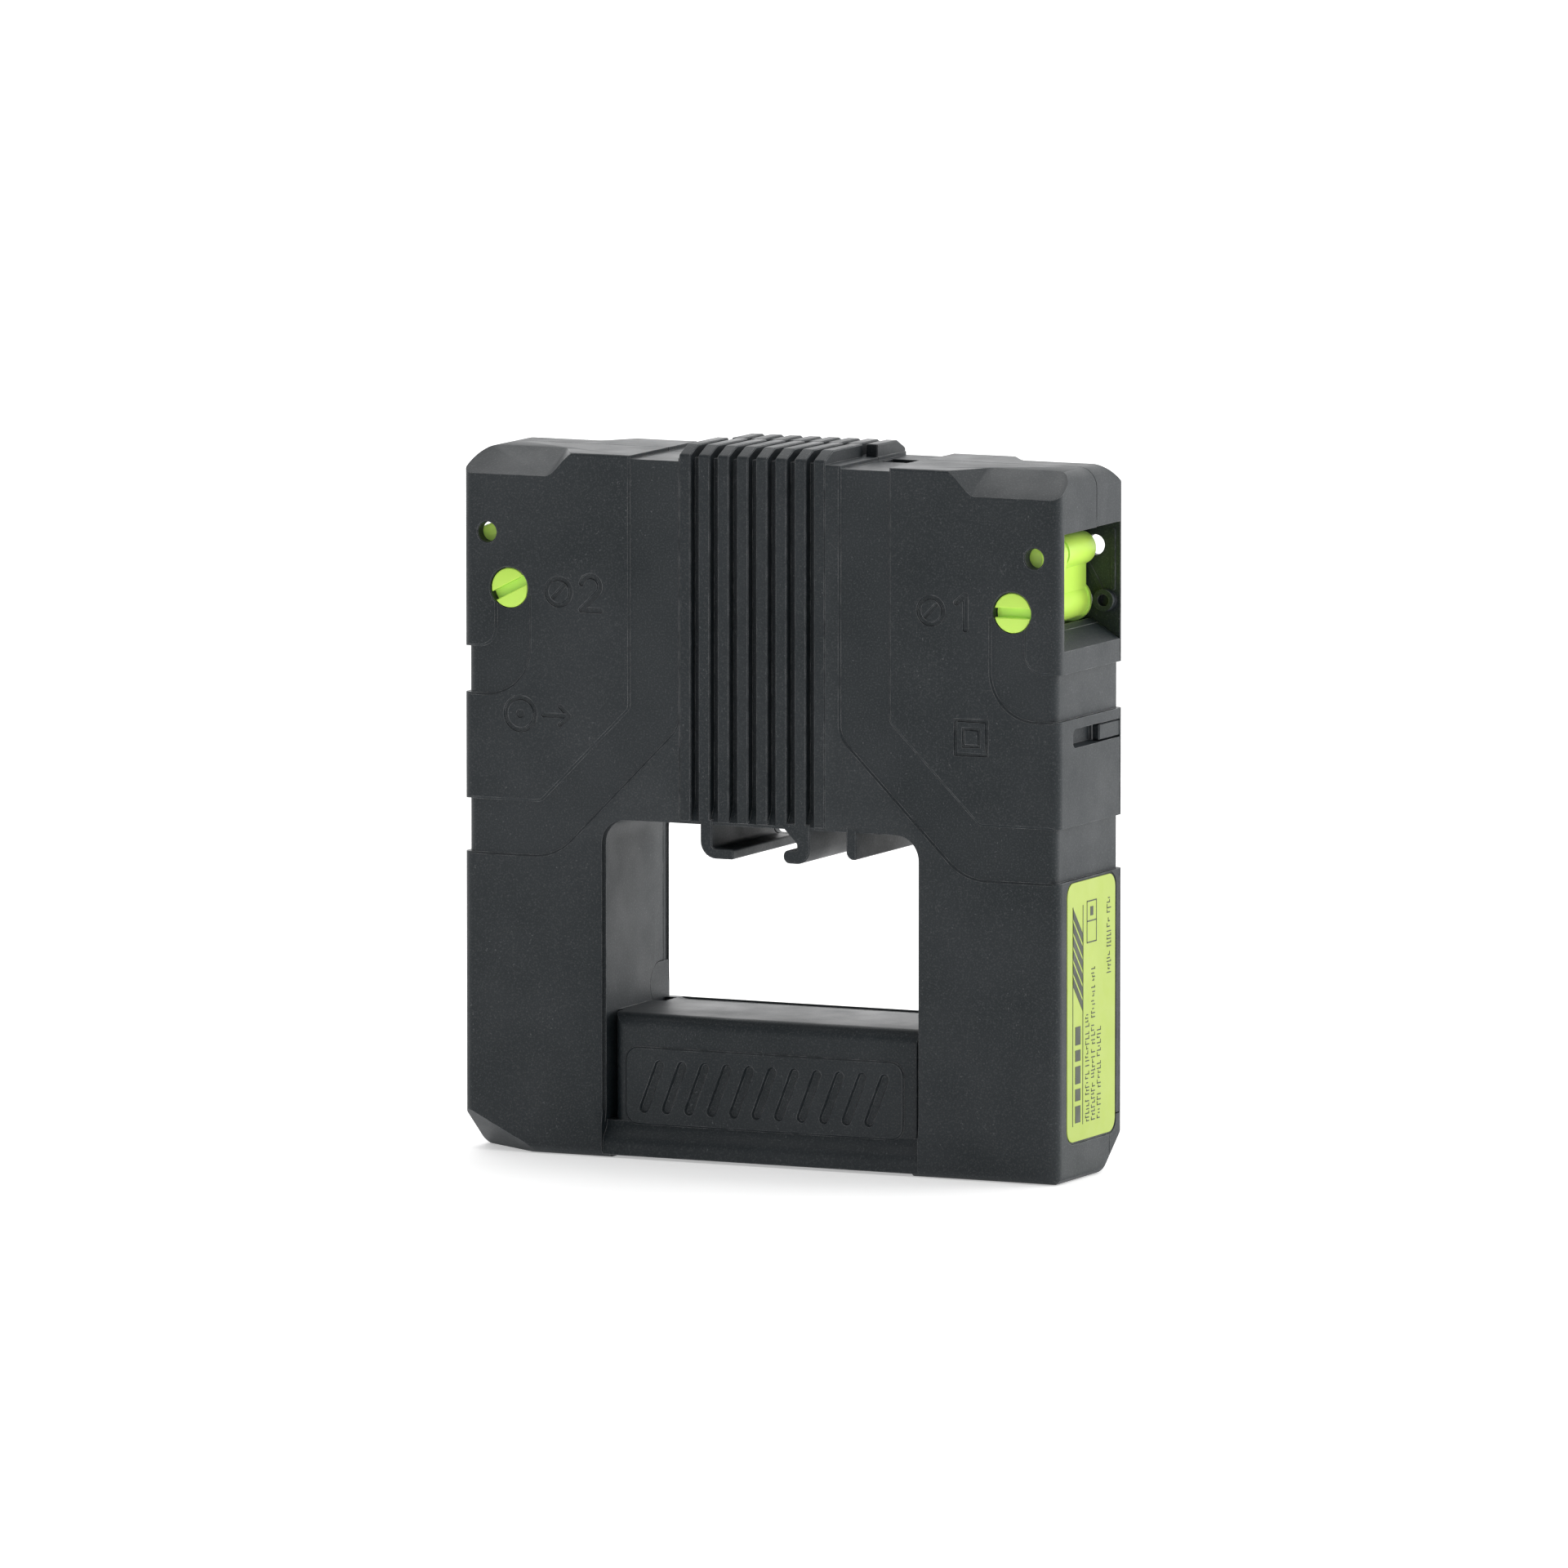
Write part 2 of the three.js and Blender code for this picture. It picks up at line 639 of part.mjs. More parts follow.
// ---- terminals ----------------------------------------------------------------------

const BLOCK = { inner: 26.5, outer: 34.5, low: 73.6, high: 93, half: 9 };
const BAR = { from: 29.6, thick: 1.2, low: 71.2, high: 89.8, foot: 33.6, half: 6 };
const LEAF = { thick: 0.5, inner: 31.4, outer: 33.9, low: 79, bend: 86.4, half: 4.5 };
const LEAD = { radius: 0.45, sleeveBore: 0.75, sleeve: 1.15 };

function terminalBlock(sign) {
  const { inner, outer, low, high, half } = BLOCK;
  return cut(
    sideBox(sign, inner, outer, -half, half, low, high),
    sideBox(sign, BAR.from - GAP, outer + OVER, -BAR.half - 1, BAR.half + 1, low + 3, high - 2),
    sideBox(sign, BAR.from - GAP, BAR.from + BAR.thick + GAP, -BAR.half - GAP, BAR.half + GAP, low - OVER, low + 4),
  );
}

function contactBar(sign) {
  const { from, thick, low, high, foot, half } = BAR;
  return join(
    sideBox(sign, from, from + thick, -half, half, low, high),
    sideBox(sign, from, foot, -half, half, high - thick, high),
  );
}

// A leaf of spring steel, bent over at the top like a hairpin.
function clampSpring(sign) {
  const { thick, inner, outer, low, bend, half } = LEAF;
  const middle = (inner + outer) / 2;
  const radius = (outer - inner) / 2;
  const shape = new THREE.Shape();
  shape.moveTo(middle - radius, low);
  shape.lineTo(middle - radius + thick, low);
  shape.lineTo(middle - radius + thick, bend);
  shape.absarc(middle, bend, radius - thick, Math.PI, 0, true);
  shape.lineTo(middle + radius - thick, low + 2);
  shape.lineTo(middle + radius, low + 2);
  shape.lineTo(middle + radius, bend);
  shape.absarc(middle, bend, radius, 0, Math.PI, false);
  const leaf = alongY(shape, -half, half, 8);
  return sign > 0 ? leaf : leaf.mirror([1, 0, 0]);
}

// The lead goes from the foot of the contact bar down to the flange of the bobbin.
function leadPath(sign) {
  const start = BAR.from + BAR.thick / 2;
  const points = [
    [start, 0, BAR.low - GAP],
    [start - 0.1, 0, BAR.low - 1.3],
    [start - 1, 0, 68.7],
    [start - 2.6, 0, 68.2],
    [BOBBIN.half + GAP * 1.5, 0, 68.1],
  ];
  return new THREE.CatmullRomCurve3(points.map(([x, y, z]) => new THREE.Vector3(sign * x, y, z)));
}

function tube(path, radius, bore, steps) {
  const shape = circle(0, 0, radius);
  if (bore > 0) {
    shape.holes.push(circle(0, 0, bore));
  }
  return solid(new THREE.ExtrudeGeometry(shape, { steps, extrudePath: path, curveSegments: 5 }));
}

function leadWire(sign) {
  return tube(leadPath(sign), LEAD.radius, 0, 12);
}

function leadSleeve(sign) {
  const path = leadPath(sign);
  const middle = [0.2, 0.36, 0.52, 0.68, 0.84].map((at) => path.getPointAt(at));
  return tube(new THREE.CatmullRomCurve3(middle), LEAD.sleeve, LEAD.sleeveBore, 8);
}

// ---- clamp levers -------------------------------------------------------------------

// Drawn about the pivot, for the right-hand clamp in its closed position.
const LEVER = {
  hub: 2.65,
  tip: { x: 1.5, z: 7.45, radius: 2.4 },
  heel: { x: -1.2, z: 7.6, radius: 2 },
  nose: { x: -2.1, z: -1.1, radius: 1.2 },
  webInner: -1.4,
  webOuter: 2.1,
  front: FRONT + WALL + GAP,
  step: -0.4,
  rear: SPLIT.middle - GAP / 2,
};

function hull(circles, from, to) {
  const points = [];
  const count = 20;
  for (const { x, z, radius } of circles) {
    for (let index = 0; index < count; index += 1) {
      const angle = (index / count) * Math.PI * 2;
      for (const y of [from, to]) {
        points.push([x + radius * Math.cos(angle), y, z + radius * Math.sin(angle)]);
      }
    }
  }
  return convex(points);
}

function screwdriverSlot(face, direction) {
  const bottom = face + direction * SLOT.depth;
  const past = face - direction * OVER;
  const reach = PIVOT.hole + OVER;
  return box(-reach, reach, Math.min(bottom, past), Math.max(bottom, past), -SLOT.width / 2, SLOT.width / 2);
}

function leverAtPivot() {
  const { hub, tip, heel, nose, webInner, webOuter, front, step, rear } = LEVER;
  const hubCircle = { x: 0, z: 0, radius: hub };
  const frontFace = FRONT + PIVOT.headSink;
  const rearFace = REAR - PIVOT.headSink;
  const body = join(
    hull([hubCircle, tip, heel], front, step),
    hull([hubCircle, { x: nose.x, z: nose.z, radius: nose.radius }], front + 3, step),
    alongY(circle(0, 0, hub), step - 1, rear, 10),
    alongY(circle(tip.x, tip.z, tip.radius), step - 1, rear, 10),
    box(webInner, webOuter, step - 1, rear, 0, tip.z),
    alongY(circle(0, 0, PIVOT.head), frontFace, rearFace, 10),
  );
  return cut(body, screwdriverSlot(frontFace, 1), screwdriverSlot(rearFace, -1));
}

// Each lever turns about the upright face of its own hub: the left one is a mirror image.
function addLever(name, sign, openDegrees) {
  let body = leverAtPivot().rotate([0, openDegrees, 0]);
  if (sign < 0) {
    body = body.mirror([1, 0, 0]);
  }
  const mesh = add(name, body, "limePlastic");
  mesh.position.set(sign * PIVOT.x, 0, PIVOT.z);
}

// ---- assembly -----------------------------------------------------------------------

const outside = outsideOfCase();
add("front_shell", frontShell(outside), "blackPlastic");
add("rear_shell", rearShell(outside), "blackPlastic");
add("magnetic_core", magneticCore(), "coreSteel");
add("winding_bobbin", windingBobbin(), "bobbinPlastic");
add("secondary_winding", secondaryWinding(), "copper");
add("winding_tape", windingTape(), "tape");
corePads();

for (const [name, sign, open] of [["s1", 1, 0], ["s2", -1, S2_REST]]) {
  add(`terminal_block_${name}`, terminalBlock(sign), "insertPlastic");
  add(`contact_bar_${name}`, contactBar(sign), "brass");
  add(`clamp_spring_${name}`, clampSpring(sign), "springSteel");
  addLever(`clamp_lever_${name}`, sign, open);
  add(`lead_wire_${name}`, leadWire(sign), "copper");
  add(`lead_sleeve_${name}`, leadSleeve(sign), "sleeving");
}

function ratingLabel() {
  const { front, rear, low, high, thick, radius } = LABEL;
  return alongX(roundedRect(front, rear, low, high, radius), HALF_WIDTH - thick, HALF_WIDTH);
}

add("rating_label", ratingLabel(), "labelFilm");

export default part;
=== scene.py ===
"""Window-type current transformer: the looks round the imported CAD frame.

Shapes are drawn in millimetres in the frame's own axes (X right, Y back, Z up) and
turned into metres when a piece is made. The case and the levers are rebuilt with their
rounded edges, raised fields and marks; the other CAD solids keep their shape and get
their materials here.
"""
import json
import math
import random

import bmesh
import bpy
from mathutils import Matrix, Vector


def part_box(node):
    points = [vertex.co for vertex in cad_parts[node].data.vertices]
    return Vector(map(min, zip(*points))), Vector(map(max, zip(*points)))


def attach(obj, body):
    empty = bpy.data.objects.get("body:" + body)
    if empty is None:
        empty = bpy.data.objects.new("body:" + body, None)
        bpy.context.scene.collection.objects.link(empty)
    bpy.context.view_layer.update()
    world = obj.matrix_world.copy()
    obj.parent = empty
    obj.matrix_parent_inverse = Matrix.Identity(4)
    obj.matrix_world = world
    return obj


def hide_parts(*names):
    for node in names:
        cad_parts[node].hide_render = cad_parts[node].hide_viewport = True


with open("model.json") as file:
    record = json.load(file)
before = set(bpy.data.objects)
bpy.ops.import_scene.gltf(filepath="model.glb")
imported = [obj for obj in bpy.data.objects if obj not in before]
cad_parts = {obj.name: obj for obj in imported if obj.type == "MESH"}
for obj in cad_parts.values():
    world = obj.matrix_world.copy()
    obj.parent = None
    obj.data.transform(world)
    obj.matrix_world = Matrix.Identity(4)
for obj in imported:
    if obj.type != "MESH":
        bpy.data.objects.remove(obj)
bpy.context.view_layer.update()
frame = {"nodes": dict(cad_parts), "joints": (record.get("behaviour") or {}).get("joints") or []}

MM = 0.001


def mm(node):
    """The CAD box of a node, in millimetres."""
    low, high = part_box(node)
    return low / MM, high / MM


# ---- sizes, in millimetres ----

CASE_LOW, CASE_HIGH = mm("front_shell")
HALF_WIDTH = CASE_HIGH.x
FRONT = CASE_LOW.y
REAR = -FRONT
RIB_TOP = CASE_HIGH.z
RIB_RISE = 1.8
HEIGHT = RIB_TOP - RIB_RISE
SEAM = 0.09  # half the visible gap between the two shells
WALL = 1.8
FINE_ARC = 6  # degrees turned by one piece of an arc on a large corner
OVER = 2.0  # how far a cutting shape runs past the face that it cuts
SIDES = (-1, 1)

EDGE_RADIUS = 1.5
TOP_RADIUS = 2.8
FOOT_RADIUS = 1.5
FOOT_FACET = Vector((12.5, 7.6, 6.2))  # oblique cut at two lower corners: along X, Y and Z
SOFT = 0.35  # radius of an edge that looks sharp
FOOT_CORNER = 1.2
WINDOW_HALF = 24.56
WINDOW_LOW = 20.5
WINDOW_HIGH = 48.2
WINDOW_RADIUS = 3.5
MOUTH = 1.2  # radius of the window's front edge
REAR_MOUTH = 0.3
SLEEVE = 1.6
BAR_FRONT = FRONT + 2.0
BAR_FOOT = 0.4  # height of the crossbar's underside
BAR_LIP = FRONT + 0.4
GUTTER_DEPTH = 5.7  # from the front, at both ends of the crossbar
GUTTER_WIDTH = 0.9
RIB_PITCH = 2.98
RIB_WIDTH = 1.8
RIB_COUNT = 8
RIB_DEPTH = 1.5
RIB_START = -12.4
CENTRE_HALF = 12.5
STEP_INNER = CENTRE_HALF + 0.1  # the lowered bands and the top step start here
STEP_OUTER = 20.1
BAND_CORNER = 43.0  # from here outwards a band runs on round the upright edge
FIELD_STEP = 0.3  # how far the bands lie below the raised fields of the front
SIDE_STEP = 0.6
TOP_STEP = 0.5
DRAFT = 0.3  # slope of the little walls between the fields
PARTING_TOP = 1.6
PARTING_MIDDLE = 9.65
PARTING_FOOT = 6.3
CAP_LOW = 91.6
FOOT_HIGH = 8.0
PLATE_INNER = PARTING_MIDDLE + SEAM

PIVOT_X = 39.0
PIVOT_Z = 80.4
PIVOT_HOLE = 2.92
HEAD_RADIUS = 2.8
PROBE_X = 42.4
PROBE_Z = 88.2
PROBE_RADIUS = 1.45


# ---- outlines ----

def fillet(points, radii, step=9):
    """Rounds the corners of a closed outline; step is the turn of one piece of arc."""
    if isinstance(radii, (int, float)):
        radii = [radii] * len(points)
    result = []
    for index, radius in enumerate(radii):
        corner = Vector(points[index])
        if radius == 0:
            result.append(tuple(corner))
            continue
        back = (Vector(points[index - 1]) - corner).normalized()
        ahead = (Vector(points[(index + 1) % len(points)]) - corner).normalized()
        half = back.angle(ahead) / 2
        centre = corner + (back + ahead).normalized() * (radius / math.sin(half))
        start = corner + back * (radius / math.tan(half)) - centre
        end = corner + ahead * (radius / math.tan(half)) - centre
        sweep = start.angle(end)
        count = max(2, round(math.degrees(sweep) / step))
        for piece in range(count + 1):
            at = piece / count
            spoke = start * math.sin((1 - at) * sweep) + end * math.sin(at * sweep)
            result.append(tuple(centre + spoke / math.sin(sweep)))
    return result


def rectangle(x0, x1, y0, y1):
    return [(x0, y0), (x1, y0), (x1, y1), (x0, y1)]


def rounded(x0, x1, y0, y1, radius, step=9):
    return fillet(rectangle(x0, x1, y0, y1), radius, step)


def arc(x, z, radius, start, end, count):
    turn = math.radians(end - start) / count
    first = math.radians(start)
    angles = [first + i * turn for i in range(count + 1)]
    return [(x + radius * math.cos(angle), z + radius * math.sin(angle)) for angle in angles]


def circle(x, z, radius, count):
    return arc(x, z, radius, 0, 360, count)[:-1]


def grown(points, distance):
    """The outline moved outwards by a distance, with mitred corners."""
    if distance == 0:
        return list(points)
    area = sum(points[i - 1][0] * p[1] - p[0] * points[i - 1][1] for i, p in enumerate(points))
    outward = distance if area > 0 else -distance
    corners = [Vector(point) for point in points]
    result = []
    for index, here in enumerate(corners):
        before = (here - corners[index - 1]).normalized()
        after = (corners[(index + 1) % len(corners)] - here).normalized()
        first = Vector((before.y, -before.x))
        second = Vector((after.y, -after.x))
        result.append(tuple(here + (first + second) * (outward / (1 + first.dot(second)))))
    return result


# ---- solids ----

def placed(axis, first, second, along):
    if axis == "x":
        return (along, first, second)
    if axis == "y":
        return (first, along, second)
    return (first, second, along)


def closed(shape):
    bmesh.ops.recalc_face_normals(shape, faces=shape.faces)
    mesh = bpy.data.meshes.new("solid")
    shape.to_mesh(mesh)
    shape.free()
    return mesh


def loft(axis, rings):
    """A closed solid through rings of equally many points; each ring is (place, outline)."""
    shape = bmesh.new()
    rows = []
    for place, outline in rings:
        rows.append([shape.verts.new(placed(axis, a, b, place)) for a, b in outline])
    for low, high in zip(rows, rows[1:]):
        for index in range(len(low)):
            shape.faces.new((low[index - 1], low[index], high[index], high[index - 1]))
    shape.faces.new(rows[0])
    shape.faces.new(rows[-1])
    return closed(shape)


def prism(axis, outline, stations):
    """An outline drawn out along an axis; each station is (place, growth of the outline)."""
    return loft(axis, [(place, grown(outline, growth)) for place, growth in stations])


def plain(axis, outline, low, high):
    return prism(axis, outline, [(low, 0), (high, 0)])


def eased(axis, outline, low, high, ease=0.2):
    """A prism with a small chamfer round both ends."""
    return prism(axis, outline, [(low, -ease), (low + ease, 0), (high - ease, 0), (high, -ease)])


def box(x0, x1, y0, y1, z0, z1):
    return plain("y", rectangle(x0, x1, z0, z1), y0, y1)


def side_box(sign, inner, outer, y0, y1, z0, z1):
    x0, x1 = sorted((sign * inner, sign * outer))
    return box(x0, x1, y0, y1, z0, z1)


def hull(points):
    shape = bmesh.new()
    for point in points:
        shape.verts.new(point)
    result = bmesh.ops.convex_hull(shape, input=shape.verts)
    loose = [e for e in result["geom_interior"] if isinstance(e, bmesh.types.BMVert)]
    bmesh.ops.delete(shape, geom=loose, context="VERTS")
    bmesh.ops.dissolve_limit(shape, angle_limit=0.001, verts=shape.verts, edges=shape.edges)
    return closed(shape)


def moved(mesh, matrix):
    result = mesh.copy()
    result.transform(matrix)
    if matrix.determinant() < 0:
        result.flip_normals()
    return result


HALF_TURN = Matrix.Rotation(math.pi, 4, "Z")
FLIP_X = Matrix.Scale(-1, 4, (1, 0, 0))


def turned(mesh):
    """The same shape on the rear face: turned half round the upright axis."""
    return moved(mesh, HALF_TURN)


def on_side(mesh, sign):
    """A shape that is drawn on the right-hand side, or its mirror image on the left."""
    return mesh if sign > 0 else moved(mesh, FLIP_X)


def add(name, data):
    made = bpy.data.objects.new(name, data)
    bpy.context.scene.collection.objects.link(made)
    return made


def boolean(base, operation, tools):
    holder = add("holder", base)
    helpers = []
    for tool in tools:
        helper = add("helper", tool)
        modifier = holder.modifiers.new("boolean", "BOOLEAN")
        modifier.operation = operation
        modifier.solver = "MANIFOLD"
        modifier.object = helper
        helpers.append(helper)
    graph = bpy.context.evaluated_depsgraph_get()
    graph.update()
    result = bpy.data.meshes.new_from_object(holder.evaluated_get(graph))
    for helper in [holder, *helpers]:
        bpy.data.objects.remove(helper)
    return result


def cut(base, *tools):
    return boolean(base, "DIFFERENCE", tools)


def join(base, *tools):
    return boolean(base, "UNION", tools)


def common(base, *tools):
    return boolean(base, "INTERSECT", tools)


def smooth(mesh, sharp_degrees=32):
    mesh.polygons.foreach_set("use_smooth", [True] * len(mesh.polygons))
    mesh.set_sharp_from_angle(angle=math.radians(sharp_degrees))


def piece(name, mesh, material, body, slot, *nodes):
    """Makes a piece of the model in metres, hangs it on its body and hides the CAD nodes that it
    stands for.
    """
    mesh.transform(Matrix.Scale(MM, 4))
    mesh.name = name
    mesh.materials.clear()
    mesh.materials.append(material)
    smooth(mesh)
    made = add(name, mesh)
    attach(made, body)
    if nodes:
        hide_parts(*nodes)


# ---- material nodes ----

class Nodes:
    """A short way to build a node tree on one material."""

    def __init__(self, name):
        self.material = bpy.data.materials.new(name)
        self.material.use_nodes = True
        self.tree = self.material.node_tree
        self.shader = self.tree.nodes["Principled BSDF"]
        self.place = self.new("ShaderNodeTexCoord").outputs["Object"]

    def new(self, kind, **settings):
        node = self.tree.nodes.new(kind)
        for key, value in settings.items():
            setattr(node, key, value)
        return node

    def link(self, source, target):
        self.tree.links.new(source, target)

    def set(self, **values):
        for key, value in values.items():
            self.shader.inputs[key.replace("_", " ")].default_value = value

    def stretch(self, scale):
        mapping = self.new("ShaderNodeMapping")
        mapping.inputs["Scale"].default_value = scale
        self.link(self.place, mapping.inputs["Vector"])
        return mapping.outputs["Vector"]

    def noise(self, scale, detail=2.0, place=None):
        node = self.new("ShaderNodeTexNoise")
        node.inputs["Scale"].default_value = scale
        node.inputs["Detail"].default_value = detail
        self.link(place or self.place, node.inputs["Vector"])
        return node.outputs["Fac"]

    def ramp(self, value, low, high, start=0.0, end=1.0):
        node = self.new("ShaderNodeMapRange")
        for key, number in zip(("From Min", "From Max", "To Min", "To Max"), (low, high, start, end)):
            node.inputs[key].default_value = number
        self.link(value, node.inputs["Value"])
        return node.outputs["Result"]

    def spread(self, value, start=0.0, end=1.0):
        """Widens a noise, nearly all of which lies near its middle, to a full range."""
        return self.ramp(value, 0.3, 0.7, start, end)

    def blend(self, amount, first, second):
        node = self.new("ShaderNodeMix", data_type="RGBA")
        self.link(amount, node.inputs["Factor"])
        for socket, colour in ((node.inputs[6], first), (node.inputs[7], second)):
            if isinstance(colour, tuple):
                socket.default_value = (*colour, 1)
            else:
                self.link(colour, socket)
        return node.outputs[2]

    def bump(self, height, strength, distance, under=None):
        node = self.new("ShaderNodeBump")
        node.inputs["Strength"].default_value = strength
        node.inputs["Distance"].default_value = distance
        self.link(height, node.inputs["Height"])
        if under:
            self.link(under, node.inputs["Normal"])
        return node.outputs["Normal"]

    def multiply(self, first, second):
        node = self.new("ShaderNodeMath", operation="MULTIPLY")
        self.link(first, node.inputs[0])
        self.link(second, node.inputs[1])
        return node.outputs["Value"]

    def edge_wear_and_highlight(self, colour, rounded_normal, worn_and_highlit):
        """A paler colour where the rounded normal leaves the true one: along edges, as rubbed wear and
        as painted highlights where the edges catch light.
        """
        node = self.new("ShaderNodeVectorMath", operation="DOT_PRODUCT")
        self.link(rounded_normal, node.inputs[0])
        self.link(self.new("ShaderNodeNewGeometry").outputs["Normal"], node.inputs[1])
        rubbed_and_highlit = self.ramp(node.outputs["Value"], low=0.985, high=0.91, start=0, end=0.9)
        patchy = self.ramp(self.noise(450, 3), low=0.4, high=0.6, start=0.2, end=1)
        return self.blend(self.multiply(rubbed_and_highlit, patchy), colour, worn_and_highlit)

    def round_edges(self, radius):
        node = self.new("ShaderNodeBevel", samples=4)
        node.inputs["Radius"].default_value = radius
        return node.outputs["Normal"]

    def out(self, **sources):
        for key, source in sources.items():
            self.link(source, self.shader.inputs[key.replace("_", " ")])
        return self.material


def moulded(name, dark, light, roughness, grain=0.22, edge=0.12 * MM, worn_and_highlit=None):
    """Moulded plastic: fine spark-eroded grain, slow mottling and, where a worn colour is given, edges
    made paler as rubbed wear and as painted highlights.
    """
    nodes = Nodes(name)
    colour = nodes.blend(nodes.spread(nodes.noise(55, 4)), dark, light)
    rounded_normal = nodes.round_edges(edge)
    if worn_and_highlit:
        colour = nodes.edge_wear_and_highlight(colour, rounded_normal, worn_and_highlit)
    rough = nodes.spread(nodes.noise(160, 3), roughness - 0.05, roughness + 0.06)
    fine = nodes.bump(nodes.noise(3800, 2), grain, 0.02 * MM, rounded_normal)
    coarse = nodes.bump(nodes.noise(1100, 2), grain * 0.6, 0.03 * MM, fine)
    nodes.out(Base_Color=colour, Roughness=rough, Normal=coarse)
    return nodes


def black_plastic():
    """The case: nearly black, with pale dust in the grain, painted glints in the grain, and edges made
    paler as rubbed wear and as painted highlights.
    """
    dark, light = (0.004, 0.009, 0.012), (0.016, 0.021, 0.025)
    # The pale edge colour stands for rubbed wear and also paints the highlights that the edges catch.
    rubbed_and_highlit, dust, glint = (0.23, 0.235, 0.24), (0.075, 0.08, 0.085), (0.30, 0.30, 0.30)
    nodes = moulded("black_plastic", dark, light, roughness=0.5, grain=0.5, worn_and_highlit=rubbed_and_highlit)
    base = nodes.shader.inputs["Base Color"]
    colour = base.links[0].from_socket
    cloud = nodes.ramp(nodes.noise(140, 3), 0.42, 0.62, 0.15, 1)
    speck = nodes.ramp(nodes.noise(2900, 1), 0.68, 0.80)
    # Painted glints: a little of the pale glint grey at fine specks, as highlights in the grain.
    grain = nodes.ramp(nodes.noise(4200, 1), 0.5, 0.75, 0, 0.08)
    dusty = nodes.blend(nodes.multiply(speck, cloud), colour, dust)
    nodes.link(nodes.blend(grain, dusty, glint), base)
    nodes.set(Specular_IOR_Level=0.4)
    return nodes.material


def insert_plastic():
    dark, light = (0.010, 0.011, 0.012), (0.016, 0.017, 0.018)
    return moulded("insert_plastic", dark, light, roughness=0.45, grain=0.2).material


def lime_plastic():
    """Bright, slightly see-through plastic, with a weak emission that paints a glow onto it though it
    is no lamp.
    """
    dark, light = (0.56, 0.86, 0.09), (0.62, 0.92, 0.12)
    nodes = moulded("lime_plastic", dark, light, roughness=0.36, grain=0.08)
    # Painted glow: the weak green emission brightens the plastic.
    nodes.set(
        Subsurface_Weight=0.15, Subsurface_Radius=(0.6 * MM, 0.9 * MM, 0.2 * MM),
        Emission_Color=(0.42, 0.70, 0.22, 1), Emission_Strength=0.09,
    )
    return nodes.material


def label_film():
    nodes = Nodes("label_film")
    tone = nodes.spread(nodes.noise(120, 3))
    return nodes.out(
        Base_Color=nodes.blend(tone, (0.37, 0.48, 0.062), (0.40, 0.51, 0.075)),
        Roughness=nodes.spread(nodes.noise(400, 2), 0.34, 0.46),
        Normal=nodes.bump(nodes.noise(900, 2), 0.1, 0.01 * MM),
    )


def ink():
    nodes = Nodes("ink")
    return nodes.out(
        Base_Color=nodes.blend(nodes.noise(1500, 2), (0.02, 0.03, 0.02), (0.05, 0.06, 0.03)),
        Roughness=nodes.spread(nodes.noise(300, 2), 0.4, 0.55),
    )


def striped_metal(name, dark, light, scale, roughness, grain):
    """Metal with fine parallel lines; scale says how tightly they lie along each axis."""
    nodes = Nodes(name)
    lines = nodes.noise(1, 3, nodes.stretch(scale))
    nodes.set(Metallic=1.0)
    return nodes.out(
        Base_Color=nodes.blend(nodes.spread(lines), dark, light),
        Roughness=nodes.spread(lines, roughness - 0.08, roughness + 0.08),
        Normal=nodes.bump(lines, grain, 0.03 * MM),
    )


def wound(name, dark, light, lines_per_metre, metallic):
    """Turns of wire lying side by side across X."""
    nodes = Nodes(name)
    wave = nodes.new("ShaderNodeTexWave", bands_direction="X", wave_profile="SIN")
    wave.inputs["Scale"].default_value = lines_per_metre
    wave.inputs["Distortion"].default_value = 0.6
    nodes.link(nodes.place, wave.inputs["Vector"])
    turns = wave.outputs["Fac"]
    nodes.set(Metallic=metallic)
    return nodes.out(
        Base_Color=nodes.blend(turns, dark, light),
        Roughness=nodes.spread(nodes.noise(500, 2), 0.25, 0.4),
        Normal=nodes.bump(turns, 0.8, 0.1 * MM),
    )


def film_tape():
    nodes = Nodes("film_tape")
    crinkle = nodes.noise(300, 5)
    return nodes.out(
        Base_Color=nodes.blend(crinkle, (0.60, 0.46, 0.17), (0.74, 0.62, 0.32)),
        Roughness=nodes.spread(crinkle, 0.3, 0.5),
        Normal=nodes.bump(crinkle, 0.5, 0.1 * MM),
    )


def cell_foam():
    nodes = Nodes("cell_foam")
    cells = nodes.new("ShaderNodeTexVoronoi")
    cells.inputs["Scale"].default_value = 1400
    nodes.link(nodes.place, cells.inputs["Vector"])
    size = cells.outputs["Distance"]
    return nodes.out(
        Base_Color=nodes.blend(size, (0.03, 0.031, 0.033), (0.08, 0.083, 0.086)),
        Roughness=nodes.ramp(size, 0, 1, 0.85, 0.98),
        Normal=nodes.bump(size, 0.9, 0.15 * MM),
    )


# ---- outside of the case ----

def case_block(wide=0.0, deep=0.0):
    """The block that the case is cut from, or the same with its sides and faces set in."""
    half = HALF_WIDTH - wide
    front = FRONT + deep
    corners = [FOOT_CORNER, FOOT_CORNER, TOP_RADIUS, TOP_RADIUS]
    edges = [FOOT_RADIUS, FOOT_RADIUS, SOFT, SOFT]
    outline = fillet(rectangle(-half, half, 0, HEIGHT), corners, FINE_ARC)
    plan = rounded(-half, half, front, -front, EDGE_RADIUS, FINE_ARC)
    side = fillet(rectangle(front, -front, 0, HEIGHT), edges, FINE_ARC)
    reach = HALF_WIDTH + OVER
    return common(
        plain("y", outline, FRONT - OVER, REAR + OVER),
        plain("z", plan, -OVER, HEIGHT + OVER),
        plain("x", side, -reach, reach),
    )


